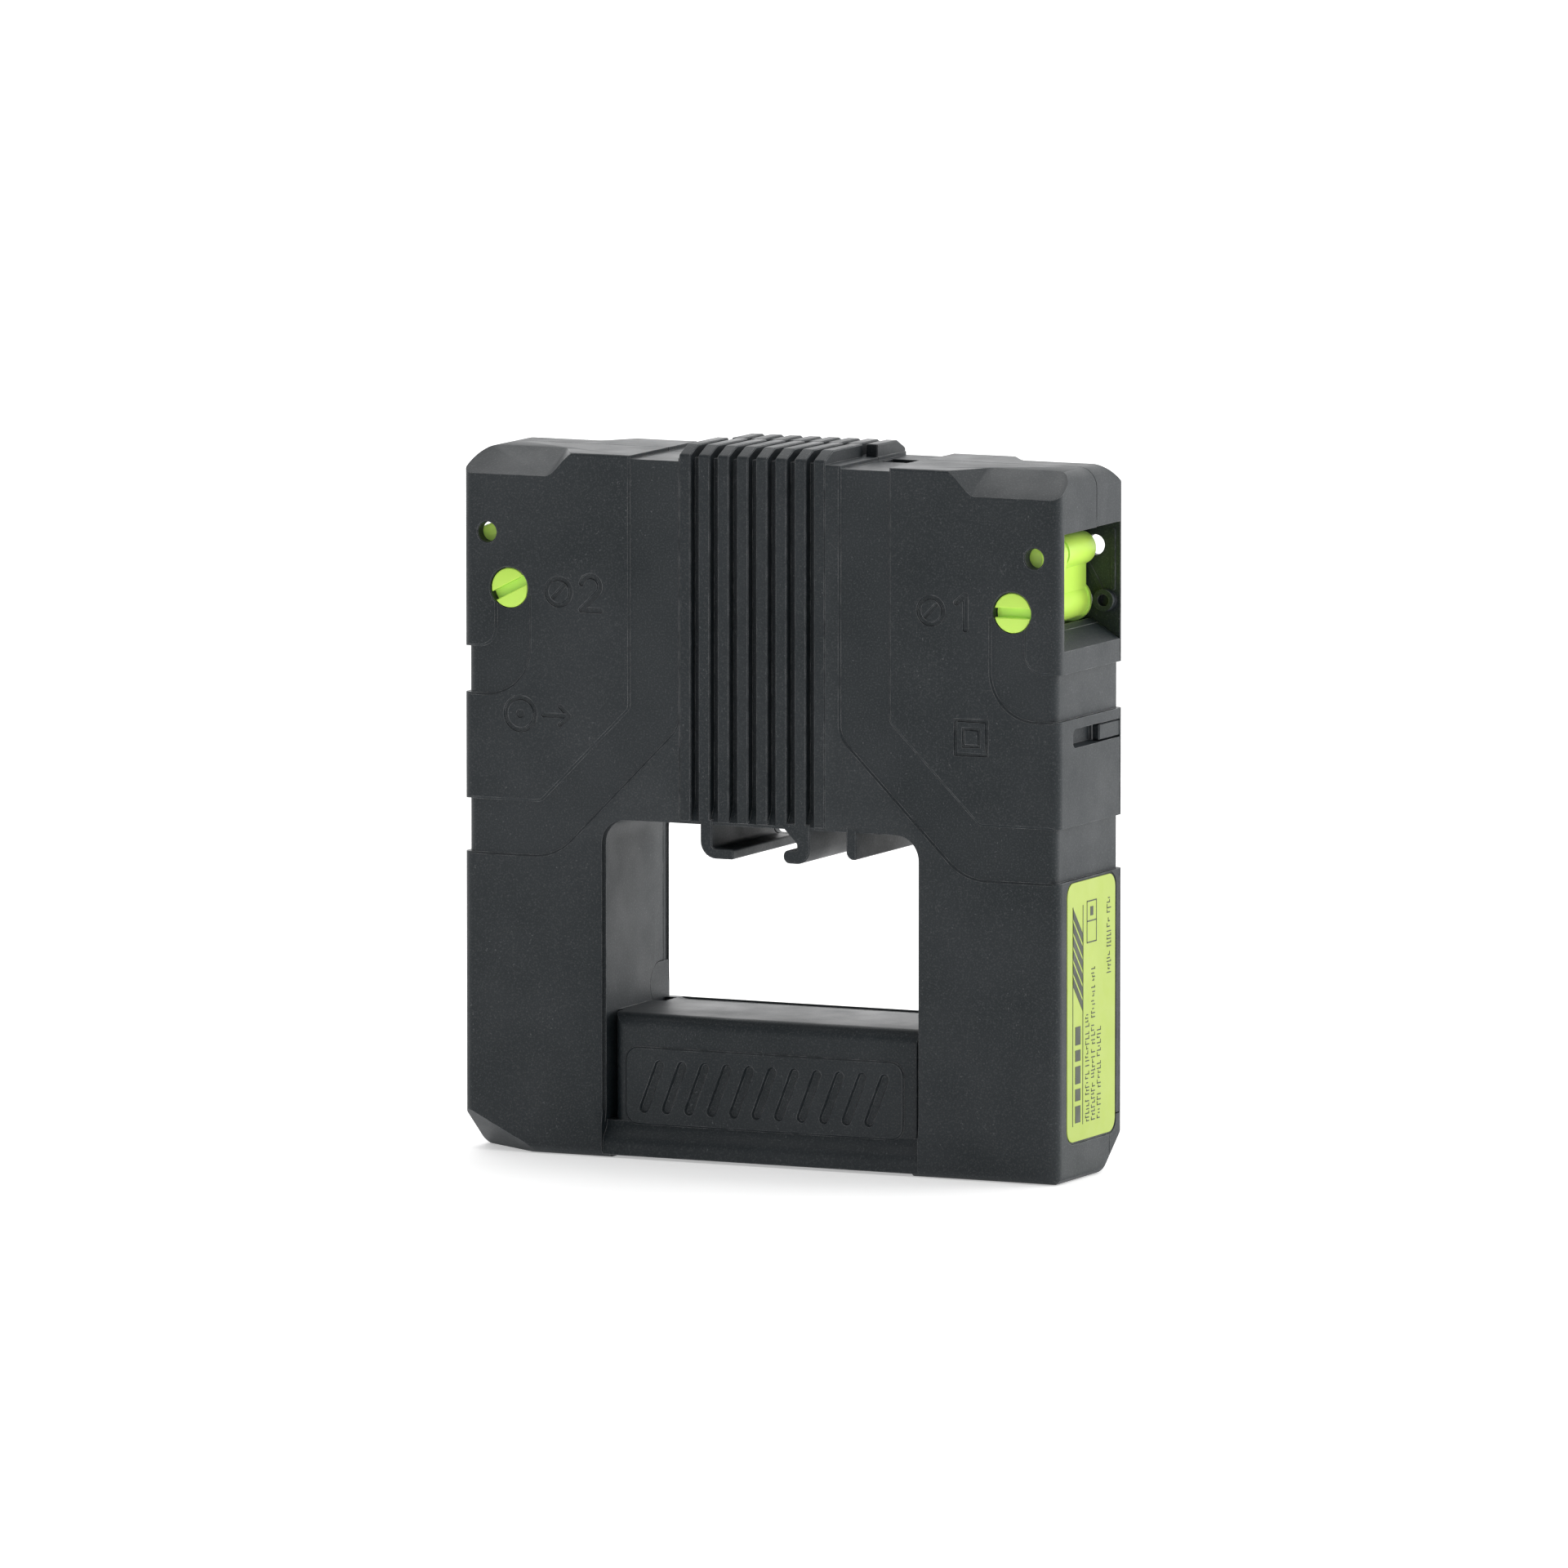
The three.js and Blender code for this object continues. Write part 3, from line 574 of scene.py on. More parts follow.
def foot_facet():
    """A cutter that takes the front left lower corner off along one plane."""
    corner = Vector((-HALF_WIDTH, FRONT, 0))
    middle = FOOT_FACET / 3
    spread = -0.6  # grows the triangle about its middle, so that it cuts right through
    beyond = corner - Vector((4, 4, 4))
    ends = Matrix.Diagonal(FOOT_FACET)
    return hull([corner + end.lerp(middle, spread) for end in ends] + [beyond])


def arc_stations(place, direction, radius, depth, count=6):
    """Stations that flare a cutter out to a rounded mouth at a face."""
    stations = [(place - direction * OVER, radius + 0.02), (place, radius)]
    for index in range(1, count + 1):
        angle = index / count * math.pi / 2
        stations.append((place + direction * radius * math.sin(angle), radius * (1 - math.cos(angle))))
    stations.append((place + direction * depth, 0))
    return stations


def window_hole():
    """The window, rounded at the rear; its front mouth is cut by front_mouth."""
    outline = rounded(-WINDOW_HALF, WINDOW_HALF, WINDOW_LOW, WINDOW_HIGH, WINDOW_RADIUS)
    return prism("y", outline, arc_stations(REAR, -1, REAR_MOUTH, 5) + [(FRONT - OVER, 0)])


def front_mouth():
    """The rounded rim of the window and, below it, of the inner edges of the two legs."""
    low, low_radius, depth = 5.6, 1.6, 1.6
    radii = [low_radius, low_radius, WINDOW_RADIUS, WINDOW_RADIUS]
    outline = fillet(rectangle(-WINDOW_HALF, WINDOW_HALF, low, WINDOW_HIGH), radii)
    return prism("y", outline, arc_stations(FRONT, 1, MOUTH, depth))


def crossbar_recess():
    """Sets the crossbar back between the legs and leaves a lip along its foot."""
    sill, above = WINDOW_LOW, WINDOW_LOW + 4
    lip_top, bar_low = 2.6, 4.6
    points = [
        (FRONT - OVER, -OVER), (BAR_LIP, -OVER), (BAR_LIP, lip_top), (BAR_FRONT, bar_low),
        (BAR_FRONT, sill), (REAR, sill), (REAR, above), (FRONT - OVER, above),
    ]
    side = fillet(points, [0, 0, 2.2, 2.6, 2.0, 0, 0, 0])
    return plain("x", side, -WINDOW_HALF, WINDOW_HALF)


def crossbar_end(sign):
    """A gutter that parts the end of the crossbar from the leg; the left end is round."""
    radius = 1.8 if sign < 0 else 0.25
    low, high = 5.2, WINDOW_LOW + WINDOW_RADIUS + 0.5
    outer = WINDOW_HALF
    inner = outer - GUTTER_WIDTH
    face_end = inner - 3
    deep = FRONT + GUTTER_DEPTH
    ahead = BAR_FRONT - 1
    points = [
        (outer, ahead), (outer, deep), (inner, deep), (inner, BAR_FRONT),
        (face_end, BAR_FRONT), (face_end, ahead),
    ]
    outline = fillet(points, [0, 0.15, 0.3, radius, 0, 0])
    return on_side(plain("z", outline, low, high), sign)


def under_crossbar():
    half = WINDOW_HALF - 1
    return eased("y", rectangle(-half, half, -OVER, BAR_FOOT), FRONT - OVER, REAR + OVER)


RIB_PLACES = [RIB_START + index * RIB_PITCH for index in range(RIB_COUNT)]
RIB_SHOULDER = RIB_TOP - 1.25
RIB_SLOPE = 2.8
RIB_FOOT = WINDOW_HIGH + 0.5


def rib(start, rear):
    """One rib: up the front face, over a sloped end and back along the top."""
    floor = FRONT + RIB_DEPTH + 0.4  # a rib's root sinks a little into the case
    root = HEIGHT - 0.5
    points = [
        (FRONT, RIB_FOOT), (floor, RIB_FOOT), (floor, root), (rear, root),
        (rear, RIB_TOP), (FRONT + RIB_SLOPE, RIB_TOP), (FRONT, RIB_SHOULDER),
    ]
    outline = fillet(points, [0, 0, 0, 0, 0.2, 0.6, 0.5], 15)
    return eased("x", outline, start, start + RIB_WIDTH, 0.16)


def rib_field():
    """The lowered floor that the ribs stand on; it runs out to the face at its foot."""
    floor = FRONT + RIB_DEPTH
    run_out, full_depth = RIB_FOOT - 0.4, RIB_FOOT + 2.2
    points = [
        (FRONT - OVER, run_out), (FRONT, run_out), (floor, full_depth),
        (floor, HEIGHT + OVER), (FRONT - OVER, HEIGHT + OVER),
    ]
    side = fillet(points, [0, 0.5, 2.2, 0, 0])
    inset = 0.02  # keeps the floor's ends inside the outer ribs
    return plain("x", side, RIB_START + inset, RIB_PLACES[-1] + RIB_WIDTH - inset)


HOOK_ROOT = WINDOW_HIGH + 0.9  # the hooks start inside the top wall of the window


def hooks(y0, y1):
    """Two hooks that face each other and a plain web, along the top of the window."""
    top = HOOK_ROOT
    left = [(-9.1, top), (-9.1, 43.5), (-3.95, 43.5), (-3.95, 44.9), (-7.3, 44.9), (-7.3, top)]
    right = [(3.1, top), (5.9, 46.2), (5.9, 45.3), (3.8, 45.3), (3.8, 43.4), (7.9, 43.4), (7.9, top)]
    web = [(13.55, top), (13.55, 44.4), (15.1, 44.4), (15.1, top)]
    shapes = []
    for points, radii in (
        (left, [0, 2.4, 0.3, 0.3, 0.7, 0]),
        (right, [0, 0.6, 0.3, 0.85, 0.95, 2.0, 0]),
        (web, [0, 1.1, 0.3, 0]),
    ):
        shapes.append(eased("y", fillet(points, radii, 12), y0, y1, 0.15))
    return shapes


def band_outline():
    """The lowered band of the front: down from the top, out at 45 degrees, to the side."""
    inner, outer, reach = STEP_INNER, STEP_OUTER, HALF_WIDTH + OVER
    low, high = 42.6, 50.2
    knee_low, knee_high = 61.8, 64.1
    top = HEIGHT + OVER
    points = [
        (inner, top), (inner, knee_low), (inner + knee_low - low, low), (reach, low),
        (reach, high), (outer + knee_high - high, high), (outer, knee_high), (outer, top),
    ]
    return fillet(points, [0, 4, 8, 0, 0, 1.5, 1.5, 0], FINE_ARC)


def terminal_band_outline():
    """The smaller band that runs from the lever's hole out to the notch in the side."""
    inner, outer, reach = 35.8, 40.9, HALF_WIDTH + OVER
    low, high, top = 65.3, 71.9, 79.4
    points = [(inner, top), (inner, low), (reach, low), (reach, high), (outer, high), (outer, top)]
    return fillet(points, [0, 6.8, 0, 0, 2.8, 0], FINE_ARC)


def across_corner(outline):
    """The part of a band on the front face and on round the upright edge, to mid-depth."""
    middle = 0.05  # a little past mid-depth, so that the front and rear halves meet
    stations = [(FRONT - OVER, DRAFT), (FRONT, DRAFT), (FRONT + FIELD_STEP, 0), (middle, 0)]
    front = prism("y", outline, stations)
    side = box(BAND_CORNER, HALF_WIDTH + OVER, FRONT - OVER, middle, 0, HEIGHT + OVER)
    flat = box(0, BAND_CORNER + 0.01, FRONT - OVER, FRONT + 1, 0, HEIGHT + OVER)
    return common(front, join(side, flat))


def field_steps(inset):
    """The lowered bands: two at each upper corner of the front and of the rear, which
    run on round the upright edges as far as the inset block lets them."""
    quarters = []
    for outline in (band_outline(), terminal_band_outline()):
        right = across_corner(outline)
        left = moved(right, FLIP_X)
        quarters += [right, left, turned(right), turned(left)]
    return [cut(tool, inset) for tool in quarters]


def top_step(sign):
    low, high = HEIGHT - TOP_STEP, HEIGHT + OVER
    return side_box(sign, STEP_INNER, STEP_OUTER, FRONT - OVER, REAR + OVER, low, high)


def grip_facet(run):
    """The sloped facet at the rear right upper corner; its inner end swings out of the
    top face in an S."""
    drop, start, end = 3.5, 28.6, 33.4
    slope = drop / run
    high = HEIGHT + OVER
    steps = 12
    least = 0.004  # the inner end isn't quite closed
    rings = []
    for index in range(steps + 1):
        share = index / steps
        swing = share * share * (3 - 2 * share)
        size = least + (1 - least) * swing
        low = HEIGHT - drop * size
        outline = [
            (REAR - run * size, HEIGHT), (REAR - run * size, high), (REAR + OVER, high),
            (REAR + OVER, low - OVER * slope), (REAR, low),
        ]
        rings.append((start + (end - start) * share, outline))
    rings.append((HALF_WIDTH + OVER, rings[-1][1]))
    return loft("x", rings)


def grip_facets():
    rear = grip_facet(5.0)
    front = grip_facet(6.2)
    return [rear, moved(rear, FLIP_X), turned(front), turned(moved(front, FLIP_X))]


def hole(x, z, radius, ease, count):
    outline = circle(x, z, radius, count)
    stations = [(FRONT - OVER, ease), (FRONT, ease), (FRONT + ease, 0)]
    return prism("y", outline, stations + [(-y, growth) for y, growth in reversed(stations)])


def round_holes(sign):
    rim = 0.15
    return [
        hole(sign * PIVOT_X, PIVOT_Z, PIVOT_HOLE, rim, 56),
        hole(sign * PROBE_X, PROBE_Z, PROBE_RADIUS, rim, 36),
    ]


POCKET_LOW = 77.9
POCKET_HIGH = 91.6
LEDGE_INNER = 41.9
LEDGE_OUTER_Z = 75.1
LEDGE_SLOPE = (POCKET_LOW - LEDGE_OUTER_Z) / (HALF_WIDTH - LEDGE_INNER)


def ledge_height(x):
    return POCKET_LOW - (x - LEDGE_INNER) * LEDGE_SLOPE


def pocket_opening(sign):
    """The opening in the side wall, through which the lever shows."""
    inner = HALF_WIDTH - WALL - 0.1
    points = [
        (inner, ledge_height(inner)),
        (HALF_WIDTH + OVER, LEDGE_OUTER_Z - OVER * LEDGE_SLOPE),
        (HALF_WIDTH + OVER, POCKET_HIGH),
        (inner, POCKET_HIGH),
    ]
    return on_side(plain("y", points, FRONT + WALL, PARTING_MIDDLE), sign)


def top_slot(sign):
    depth = 1.2
    return side_box(sign, 13.4, 17.6, 0.4, 4.6, HEIGHT - depth, HEIGHT + OVER)


LABEL_LOW, LABEL_HIGH = mm("rating_label")
LABEL_THICK = LABEL_HIGH.x - LABEL_LOW.x


def label_recess():
    rim, radius, flare = 0.25, 2.2, 0.1
    low, high = LABEL_LOW, LABEL_HIGH
    outline = rounded(low.y - rim, high.y + rim, low.z - rim, high.z + rim, radius)
    floor = (HALF_WIDTH - LABEL_THICK, 0)
    return prism("x", outline, [floor, (HALF_WIDTH, flare), (HALF_WIDTH + OVER, flare)])


# ---- marks in the surface ----

STROKE = 0.75
THIN = 0.6
ENGRAVED = 0.22
TERMINAL_MARKS = 80.2  # height of the marks beside the levers
LOWER_MARKS = 62.6


def stroke(points, width=STROKE):
    """The outline of a line of even width with round ends."""
    half = width / 2
    path = [Vector(p) for p in points]
    left, right = [], []
    for index, here in enumerate(path):
        before = path[max(index - 1, 0)]
        after = path[min(index + 1, len(path) - 1)]
        along = (after - before).normalized()
        normal = Vector((-along.y, along.x)) * half
        left.append(here + normal)
        right.append(here - normal)

    def cap(centre, start):
        count = 8
        turn = math.pi / count
        return [centre + Matrix.Rotation(-i * turn, 2) @ start for i in range(1, count)]

    outline = left + cap(path[-1], left[-1] - path[-1])
    outline += right[::-1] + cap(path[0], right[0] - path[0])
    return [tuple(p) for p in outline]


def loop(points, width=STROKE):
    """A closed line of even width: two half loops that overlap."""
    half = len(points) // 2
    return [stroke(points[:half + 1], width), stroke(points[half:] + points[:1], width)]


def strokes(x, z, lines, width=STROKE):
    """Straight strokes; each line is two points, measured from the middle of the mark."""
    return [stroke([(x + a, z + b), (x + c, z + d)], width) for a, b, c, d in lines]


def numeral_one(x, z):
    return strokes(x, z, [(0.9, -2.4, 0.9, 2.4), (0.9, 2.4, -0.5, 1.3)])


def numeral_two(x, z):
    bow = arc(x, z + 1.0, 1.45, 165, -40, 16)
    return [stroke(bow + [(x - 1.45, z - 2.4)])] + strokes(x, z, [(-1.45, -2.4, 1.55, -2.4)])


def terminal_mark(x, z):
    """A slotted screw head in a ring, the plain sign for a terminal."""
    slot = strokes(x, z, [(-0.85, -0.85, 0.85, 0.85)], 0.55)
    return loop(circle(x, z, 1.9, 24), THIN) + slot


def current_mark(x, z, towards_viewer):
    """A ring with a dot or a cross: the current comes out of this face or goes in."""
    marks = loop(circle(x, z, 2.3, 28), THIN)
    if towards_viewer:
        return marks + [circle(x, z, 0.6, 16)]
    return marks + strokes(x, z, [(-1, -1, 1, 1), (-1, 1, 1, -1)], 0.5)


def arrow_mark(x, z):
    return strokes(x, z, [(-2, 0, 2, 0), (0.6, 1.3, 2, 0), (0.6, -1.3, 2, 0)], THIN)


def square_mark(x, z):
    """Two squares, one in the other: the sign for double insulation."""
    outlines = []
    for half, width in ((2.4, 0.5), (1.2, 0.45)):
        outlines += loop(rectangle(x - half, x + half, z - half, z + half), width)
    return outlines


def engrave(outlines):
    flare = 0.05
    stations = [(FRONT - 0.5, flare), (FRONT, flare), (FRONT + ENGRAVED, -flare)]
    return [prism("y", outline, stations) for outline in outlines]


def face_marks(left_numeral, right_numeral, towards_viewer):
    """The marks that both faces have, kept on the raised fields of the upper corners."""
    outlines = terminal_mark(-31.2, TERMINAL_MARKS) + left_numeral
    outlines += terminal_mark(26.6, TERMINAL_MARKS) + right_numeral
    outlines += current_mark(-37.2, LOWER_MARKS, towards_viewer)
    return outlines + arrow_mark(-31.6, LOWER_MARKS)


def front_marks():
    two, one = numeral_two(-26.2, TERMINAL_MARKS), numeral_one(31.0, TERMINAL_MARKS)
    return engrave(face_marks(two, one, True) + square_mark(32.8, LOWER_MARKS))


def rear_marks():
    one, two = numeral_one(-26.6, TERMINAL_MARKS), numeral_two(31.4, TERMINAL_MARKS)
    return [turned(mark) for mark in engrave(face_marks(one, two, False))]


PANEL_FACE = BAR_FRONT - 0.3


def crossbar_panel():
    """A slightly raised panel with a sloped rim on the crossbar."""
    half, low, high, radius = 21.65, 4.8, 15.9, 2
    outline = rounded(-half, half, low, high, radius)
    return prism("y", outline, [(PANEL_FACE, -0.25), (BAR_FRONT - 0.1, 0), (BAR_FRONT + 1, 0)])


def panel_grooves():
    """A row of slanted grooves, in place of any lettering."""
    count, first, pitch = 11, -17.5, 3.5
    low, high, lean, width, depth = 7.2, 13.4, 1.2, 1.3, 0.45
    stations = [(PANEL_FACE - 1, 0.1), (PANEL_FACE, 0.1), (PANEL_FACE + depth, -0.15)]
    tools = []
    for index in range(count):
        x = first + index * pitch
        tools.append(prism("y", stroke([(x - lean, low), (x + lean, high)], width), stations))
    return tools


# ---- the two shells ----

def inside():
    """What the shells leave free behind the front wall."""
    side = HALF_WIDTH - WALL
    low, foot, shoulder, high = 2.2, 10.2, 96.9, 98
    above = high + 1
    outline = [
        (-side + 8, low), (side - 8, low), (side, foot), (side, shoulder), (side - 1, high),
        (-side + 1, high), (-side, shoulder), (-side, foot),
    ]
    half = WINDOW_HALF + SLEEVE
    sleeve = rounded(-half, half, WINDOW_LOW - SLEEVE, WINDOW_HIGH + SLEEVE, WINDOW_RADIUS + SLEEVE)
    centre = CENTRE_HALF + WALL
    facet_inner, facet_low, facet_deep = 27, 94.3, FRONT + 6.4 + WALL
    tools = [
        plain("y", sleeve, FRONT, REAR + OVER),
        box(-half, half, FRONT, FRONT + GUTTER_DEPTH + 1.2, 0, WINDOW_LOW),
        box(-centre, centre, FRONT, FRONT + RIB_DEPTH + 1.4, WINDOW_HIGH, above),
    ]
    for sign in SIDES:
        for y0, y1 in ((FRONT, facet_deep), (-facet_deep, REAR + OVER)):
            tools.append(side_box(sign, facet_inner, HALF_WIDTH, y0, y1, facet_low, above))
        tools.append(side_box(sign, 12.4, 18.6, FRONT, REAR, 97.4, above))
        tools.extend(ledge(sign))
    return cut(plain("y", outline, FRONT + WALL, PARTING_MIDDLE + OVER), *tools)


def ledge(sign):
    """Floor of the lever's pocket: a shelf that thickens to the sloped ledge."""
    side = HALF_WIDTH - WALL + 0.1
    low = 73.2
    shelf_inner, shelf_low, shelf_high = 34.9, 75.9, 77.3
    rear = PARTING_MIDDLE - SEAM
    points = [
        (LEDGE_INNER, low), (side, low), (side, ledge_height(side)), (LEDGE_INNER, POCKET_LOW),
    ]
    return [
        on_side(plain("y", points, FRONT, rear), sign),
        side_box(sign, shelf_inner, LEDGE_INNER + 1, FRONT, rear, shelf_low, shelf_high),
    ]


def outside():
    """The whole case as one solid, before it is parted into two shells."""
    steps = field_steps(case_block(SIDE_STEP, FIELD_STEP))
    body = cut(case_block(), *steps, top_step(-1), top_step(1))
    body = cut(body, foot_facet(), turned(foot_facet()))
    body = cut(body, window_hole(), crossbar_recess(), crossbar_end(-1), crossbar_end(1))
    body = cut(body, front_mouth(), under_crossbar())
    body = cut(body, *grip_facets(), top_slot(-1), top_slot(1), label_recess())
    body = cut(body, rib_field(), turned(rib_field()))
    return cut(body, *front_marks(), *rear_marks())


def case_openings():
    return [tool for sign in SIDES for tool in (*round_holes(sign), pocket_opening(sign))]


TAB_LOW, TAB_HIGH = 61.4, 63.7
TAB_SLOT_FRONT = -6.35
TAB_TIP = 2.95
TAB_THICK = 4.0
TAB_POCKET = 1.65  # depth of the blind pocket ahead of the tab


def tab_slots():
    """Slots that the tabs pass through; ahead of each tab the slot is a blind pocket."""
    gap = 0.15
    low, high = TAB_LOW - gap, TAB_HIGH + gap
    inner, outer = HALF_WIDTH - WALL - 1, HALF_WIDTH + OVER
    pocket = fillet(rectangle(TAB_SLOT_FRONT, TAB_TIP, low, high), [0.9, 0, 0, 0.9])
    stations = [(HALF_WIDTH - TAB_POCKET, -0.25), (HALF_WIDTH, 0.05), (outer, 0.05)]
    tools = []
    for sign in SIDES:
        tools.append(on_side(prism("x", pocket, stations), sign))
        tools.append(side_box(sign, inner, outer, TAB_TIP - gap, REAR, low, high))
    return tools


def snap_tabs():
    """The rear shell's snap tabs, which show in slots in the side walls."""
    outer = HALF_WIDTH - 0.1
    outline = fillet(rectangle(TAB_TIP, REAR - 1, TAB_LOW, TAB_HIGH), [0.3, 0, 0, 0.3])
    return [on_side(eased("x", outline, outer - TAB_THICK, outer), sign) for sign in SIDES]


TONGUE_HALF = 3.1
TONGUE_LENGTH = 4.7
TONGUE_Z = 22.6


def tongue(grow, past):
    """The rear shell's tongue in the left wall of the window."""
    half = TONGUE_HALF + grow
    root = REAR - 0.5
    tip = arc(PARTING_MIDDLE - TONGUE_LENGTH + TONGUE_HALF, TONGUE_Z, half, 90, 270, 18)
    points = [(root, TONGUE_Z + half)] + tip + [(root, TONGUE_Z - half)]
    return plain("x", points, -WINDOW_HALF - SLEEVE - grow, -WINDOW_HALF + past)


def region(outer, *parts):
    """The space of one shell; each part is (depth of the seam, lowest Z, highest Z)."""
    wide = HALF_WIDTH + OVER
    return join(*[box(-wide, wide, *sorted((outer, seam)), z0, z1) for seam, z0, z1 in parts])


def front_region():
    return region(
        FRONT - OVER,
        (PARTING_FOOT - SEAM, -OVER, FOOT_HIGH + 1),
        (PARTING_MIDDLE - SEAM, FOOT_HIGH + SEAM, CAP_LOW - SEAM),
        (PARTING_TOP - SEAM, CAP_LOW - 1, RIB_TOP + OVER),
    )


def rear_region():
    return region(
        REAR + OVER,
        (PARTING_FOOT + SEAM, -OVER, FOOT_HIGH - SEAM),
        (PARTING_MIDDLE + SEAM, FOOT_HIGH - 1, CAP_LOW + 1),
        (PARTING_TOP + SEAM, CAP_LOW + SEAM, RIB_TOP + OVER),
    )


def build_front_shell(body, hollow):
    """The front shell, with the ribs, the hooks and the crossbar's panel."""
    shell = cut(common(body, front_region()), hollow)
    ribs = [rib(start, PARTING_TOP - SEAM) for start in RIB_PLACES]
    shell = join(shell, *ribs, *hooks(FRONT, PARTING_MIDDLE - SEAM), crossbar_panel())
    gap = 0.07
    return cut(shell, *case_openings(), *tab_slots(), tongue(gap, OVER), *panel_grooves())


def pivot_boss(sign):
    """A small dowel boss and two low webs on the inside of the rear wall."""
    x, z = sign * 44.1, 80.5
    face = PLATE_INNER + 0.3
    web_front = face - 0.42  # low enough for the open lever to clear
    boss = plain("y", circle(x, z, 1.55, 28), face - 1.4, face)
    bore = plain("y", circle(x, z, 0.85, 20), face - 2, face - 0.3)
    slanted = stroke([(sign * 43.6, 81.6), (sign * 41.4, 85.4)], THIN)
    upright = stroke([(sign * 45.2, 82.2), (sign * 45.2, 90.4)], THIN)
    return [cut(boss, bore)] + [plain("y", web, web_front, face) for web in (slanted, upright)]


def build_rear_shell(body, hollow):
    """The rear shell, with its ribs, hooks, tongue and snap tabs."""
    plate = box(-HALF_WIDTH, HALF_WIDTH, PLATE_INNER, REAR + OVER, 0, HEIGHT)
    shell = cut(common(body, rear_region()), cut(hollow, plate))
    ribs = [turned(rib(start, -PARTING_TOP - SEAM)) for start in RIB_PLACES]
    seam = PARTING_MIDDLE + SEAM
    rail = eased("x", rectangle(seam, REAR - 0.4, 47.0, HOOK_ROOT), -8, 6.8)
    shell = join(shell, *ribs, *hooks(seam, REAR), rail)
    shell = cut(shell, *case_openings())
    inner = [detail for sign in SIDES for detail in pivot_boss(sign)]
    return join(shell, tongue(0, 0), *snap_tabs(), *inner)


# ---- clamp levers ----

LEVER_FRONT = FRONT + WALL + 0.3
LEVER_REAR = PARTING_MIDDLE - 0.15
LEVER_STEP = -0.4  # depth at which the wide front half of a lever ends
HEAD_SINK = 0.25  # how far the heads lie below the faces of the case
HUB = 2.65
TIP = (1.5, 7.45, 2.4)  # across, up and radius, from the pivot
HEEL = (-1.2, 7.6, 2.0)
NOSE = (-2.1, -1.1, 1.2)
LEVER_SIDES = 72  # flats round each circle of the lever


def round_hull(circles):
    """The outline round several circles, as one convex loop."""
    points = [p for x, z, radius in circles for p in circle(x, z, radius, LEVER_SIDES)]
    points = sorted(set(points))
    chains = []
    for ordered in (points, points[::-1]):
        chain = []
        for x, y in ordered:
            while len(chain) > 1:
                (ax, ay), (bx, by) = chain[-2], chain[-1]
                if (bx - ax) * (y - ay) - (by - ay) * (x - ax) > 1e-9:
                    break
                chain.pop()
            chain.append((x, y))
        chains.append(chain[:-1])
    return chains[0] + chains[1]


def soft_prism(outline, low, high, ease):
    """A prism along Y with rounded rims at both ends."""
    steps = 4
    stations = []
    for index in range(steps + 1):
        angle = index / steps * math.pi / 2
        stations.append((low + ease * (1 - math.sin(angle)), -ease * (1 - math.cos(angle))))
    stations = stations[::-1]
    stations += [(low + high - place, growth) for place, growth in reversed(stations)]
    return prism("y", outline, stations)


def screwdriver_slot(face, direction):
    half_width, half_length, depth, rim = 0.68, 6, 1.2, 0.12
    past = face - direction * OVER
    stations = [(past, rim), (face, rim), (face + direction * rim, 0), (face + direction * depth, 0)]
    return prism("y", rectangle(-half_length, half_length, -half_width, half_width), stations)


def lever_mesh():
    """Drawn about the pivot, for the right-hand lever in its closed position."""
    hub = (0, 0, HUB)
    front_face = FRONT + HEAD_SINK
    rear_face = REAR - HEAD_SINK
    overlap = LEVER_STEP - 1  # the rear half starts inside the front half
    web = rounded(-1.5, 2.25, 0, TIP[1], 0.5)
    collar_radius, collar = HEAD_RADIUS + 0.25, 0.8

    def disc(x, z, radius, low, high, ease):
        return soft_prism(circle(x, z, radius, LEVER_SIDES), low, high, ease)

    body = join(
        soft_prism(round_hull([hub, TIP, HEEL]), LEVER_FRONT, LEVER_STEP, 0.4),
        soft_prism(round_hull([hub, NOSE]), LEVER_FRONT + 3, LEVER_STEP + 0.02, 0.3),
        disc(*hub, overlap, LEVER_REAR, 0.45),
        disc(*TIP, overlap, LEVER_REAR - 0.1, 0.6),
        plain("y", web, overlap, LEVER_REAR - 0.35),
        disc(0, 0, HEAD_RADIUS, front_face, rear_face, 0.15),
        disc(0, 0, collar_radius, LEVER_FRONT, LEVER_FRONT + collar, 0.1),
        disc(0, 0, collar_radius, LEVER_REAR - collar, LEVER_REAR, 0.1),
    )
    waist = plain("z", rounded(1.2, 4, LEVER_STEP - 0.25, LEVER_STEP + 0.35, 0.2), -4, 11)
    return cut(body, screwdriver_slot(front_face, 1), screwdriver_slot(rear_face, -1), waist)


def build_levers(material):
    """Both levers, each turned from its closed position to where it is at rest."""
    for joint in frame["joints"]:
        body = joint["child"]
        terminal = body[-2:]
        closed_angle = joint["range_deg"][0]
        matrix = Matrix.Rotation(math.radians(-closed_angle), 4, "Y")
        if joint["pos_m"][0] < 0:
            matrix = FLIP_X @ matrix
        place = Matrix.Translation(Vector(joint["pos_m"]) / MM)
        mesh = moved(lever_mesh(), place @ matrix)
        piece(f"lever_{terminal}", mesh, material, body, "lime_plastic", f"clamp_lever_{terminal}")


# ---- label ----

INK = 0.03  # thickness of the print on the film
LINE = 0.18  # width of the printed lines
PEN = 0.16  # width of the strokes of the small print


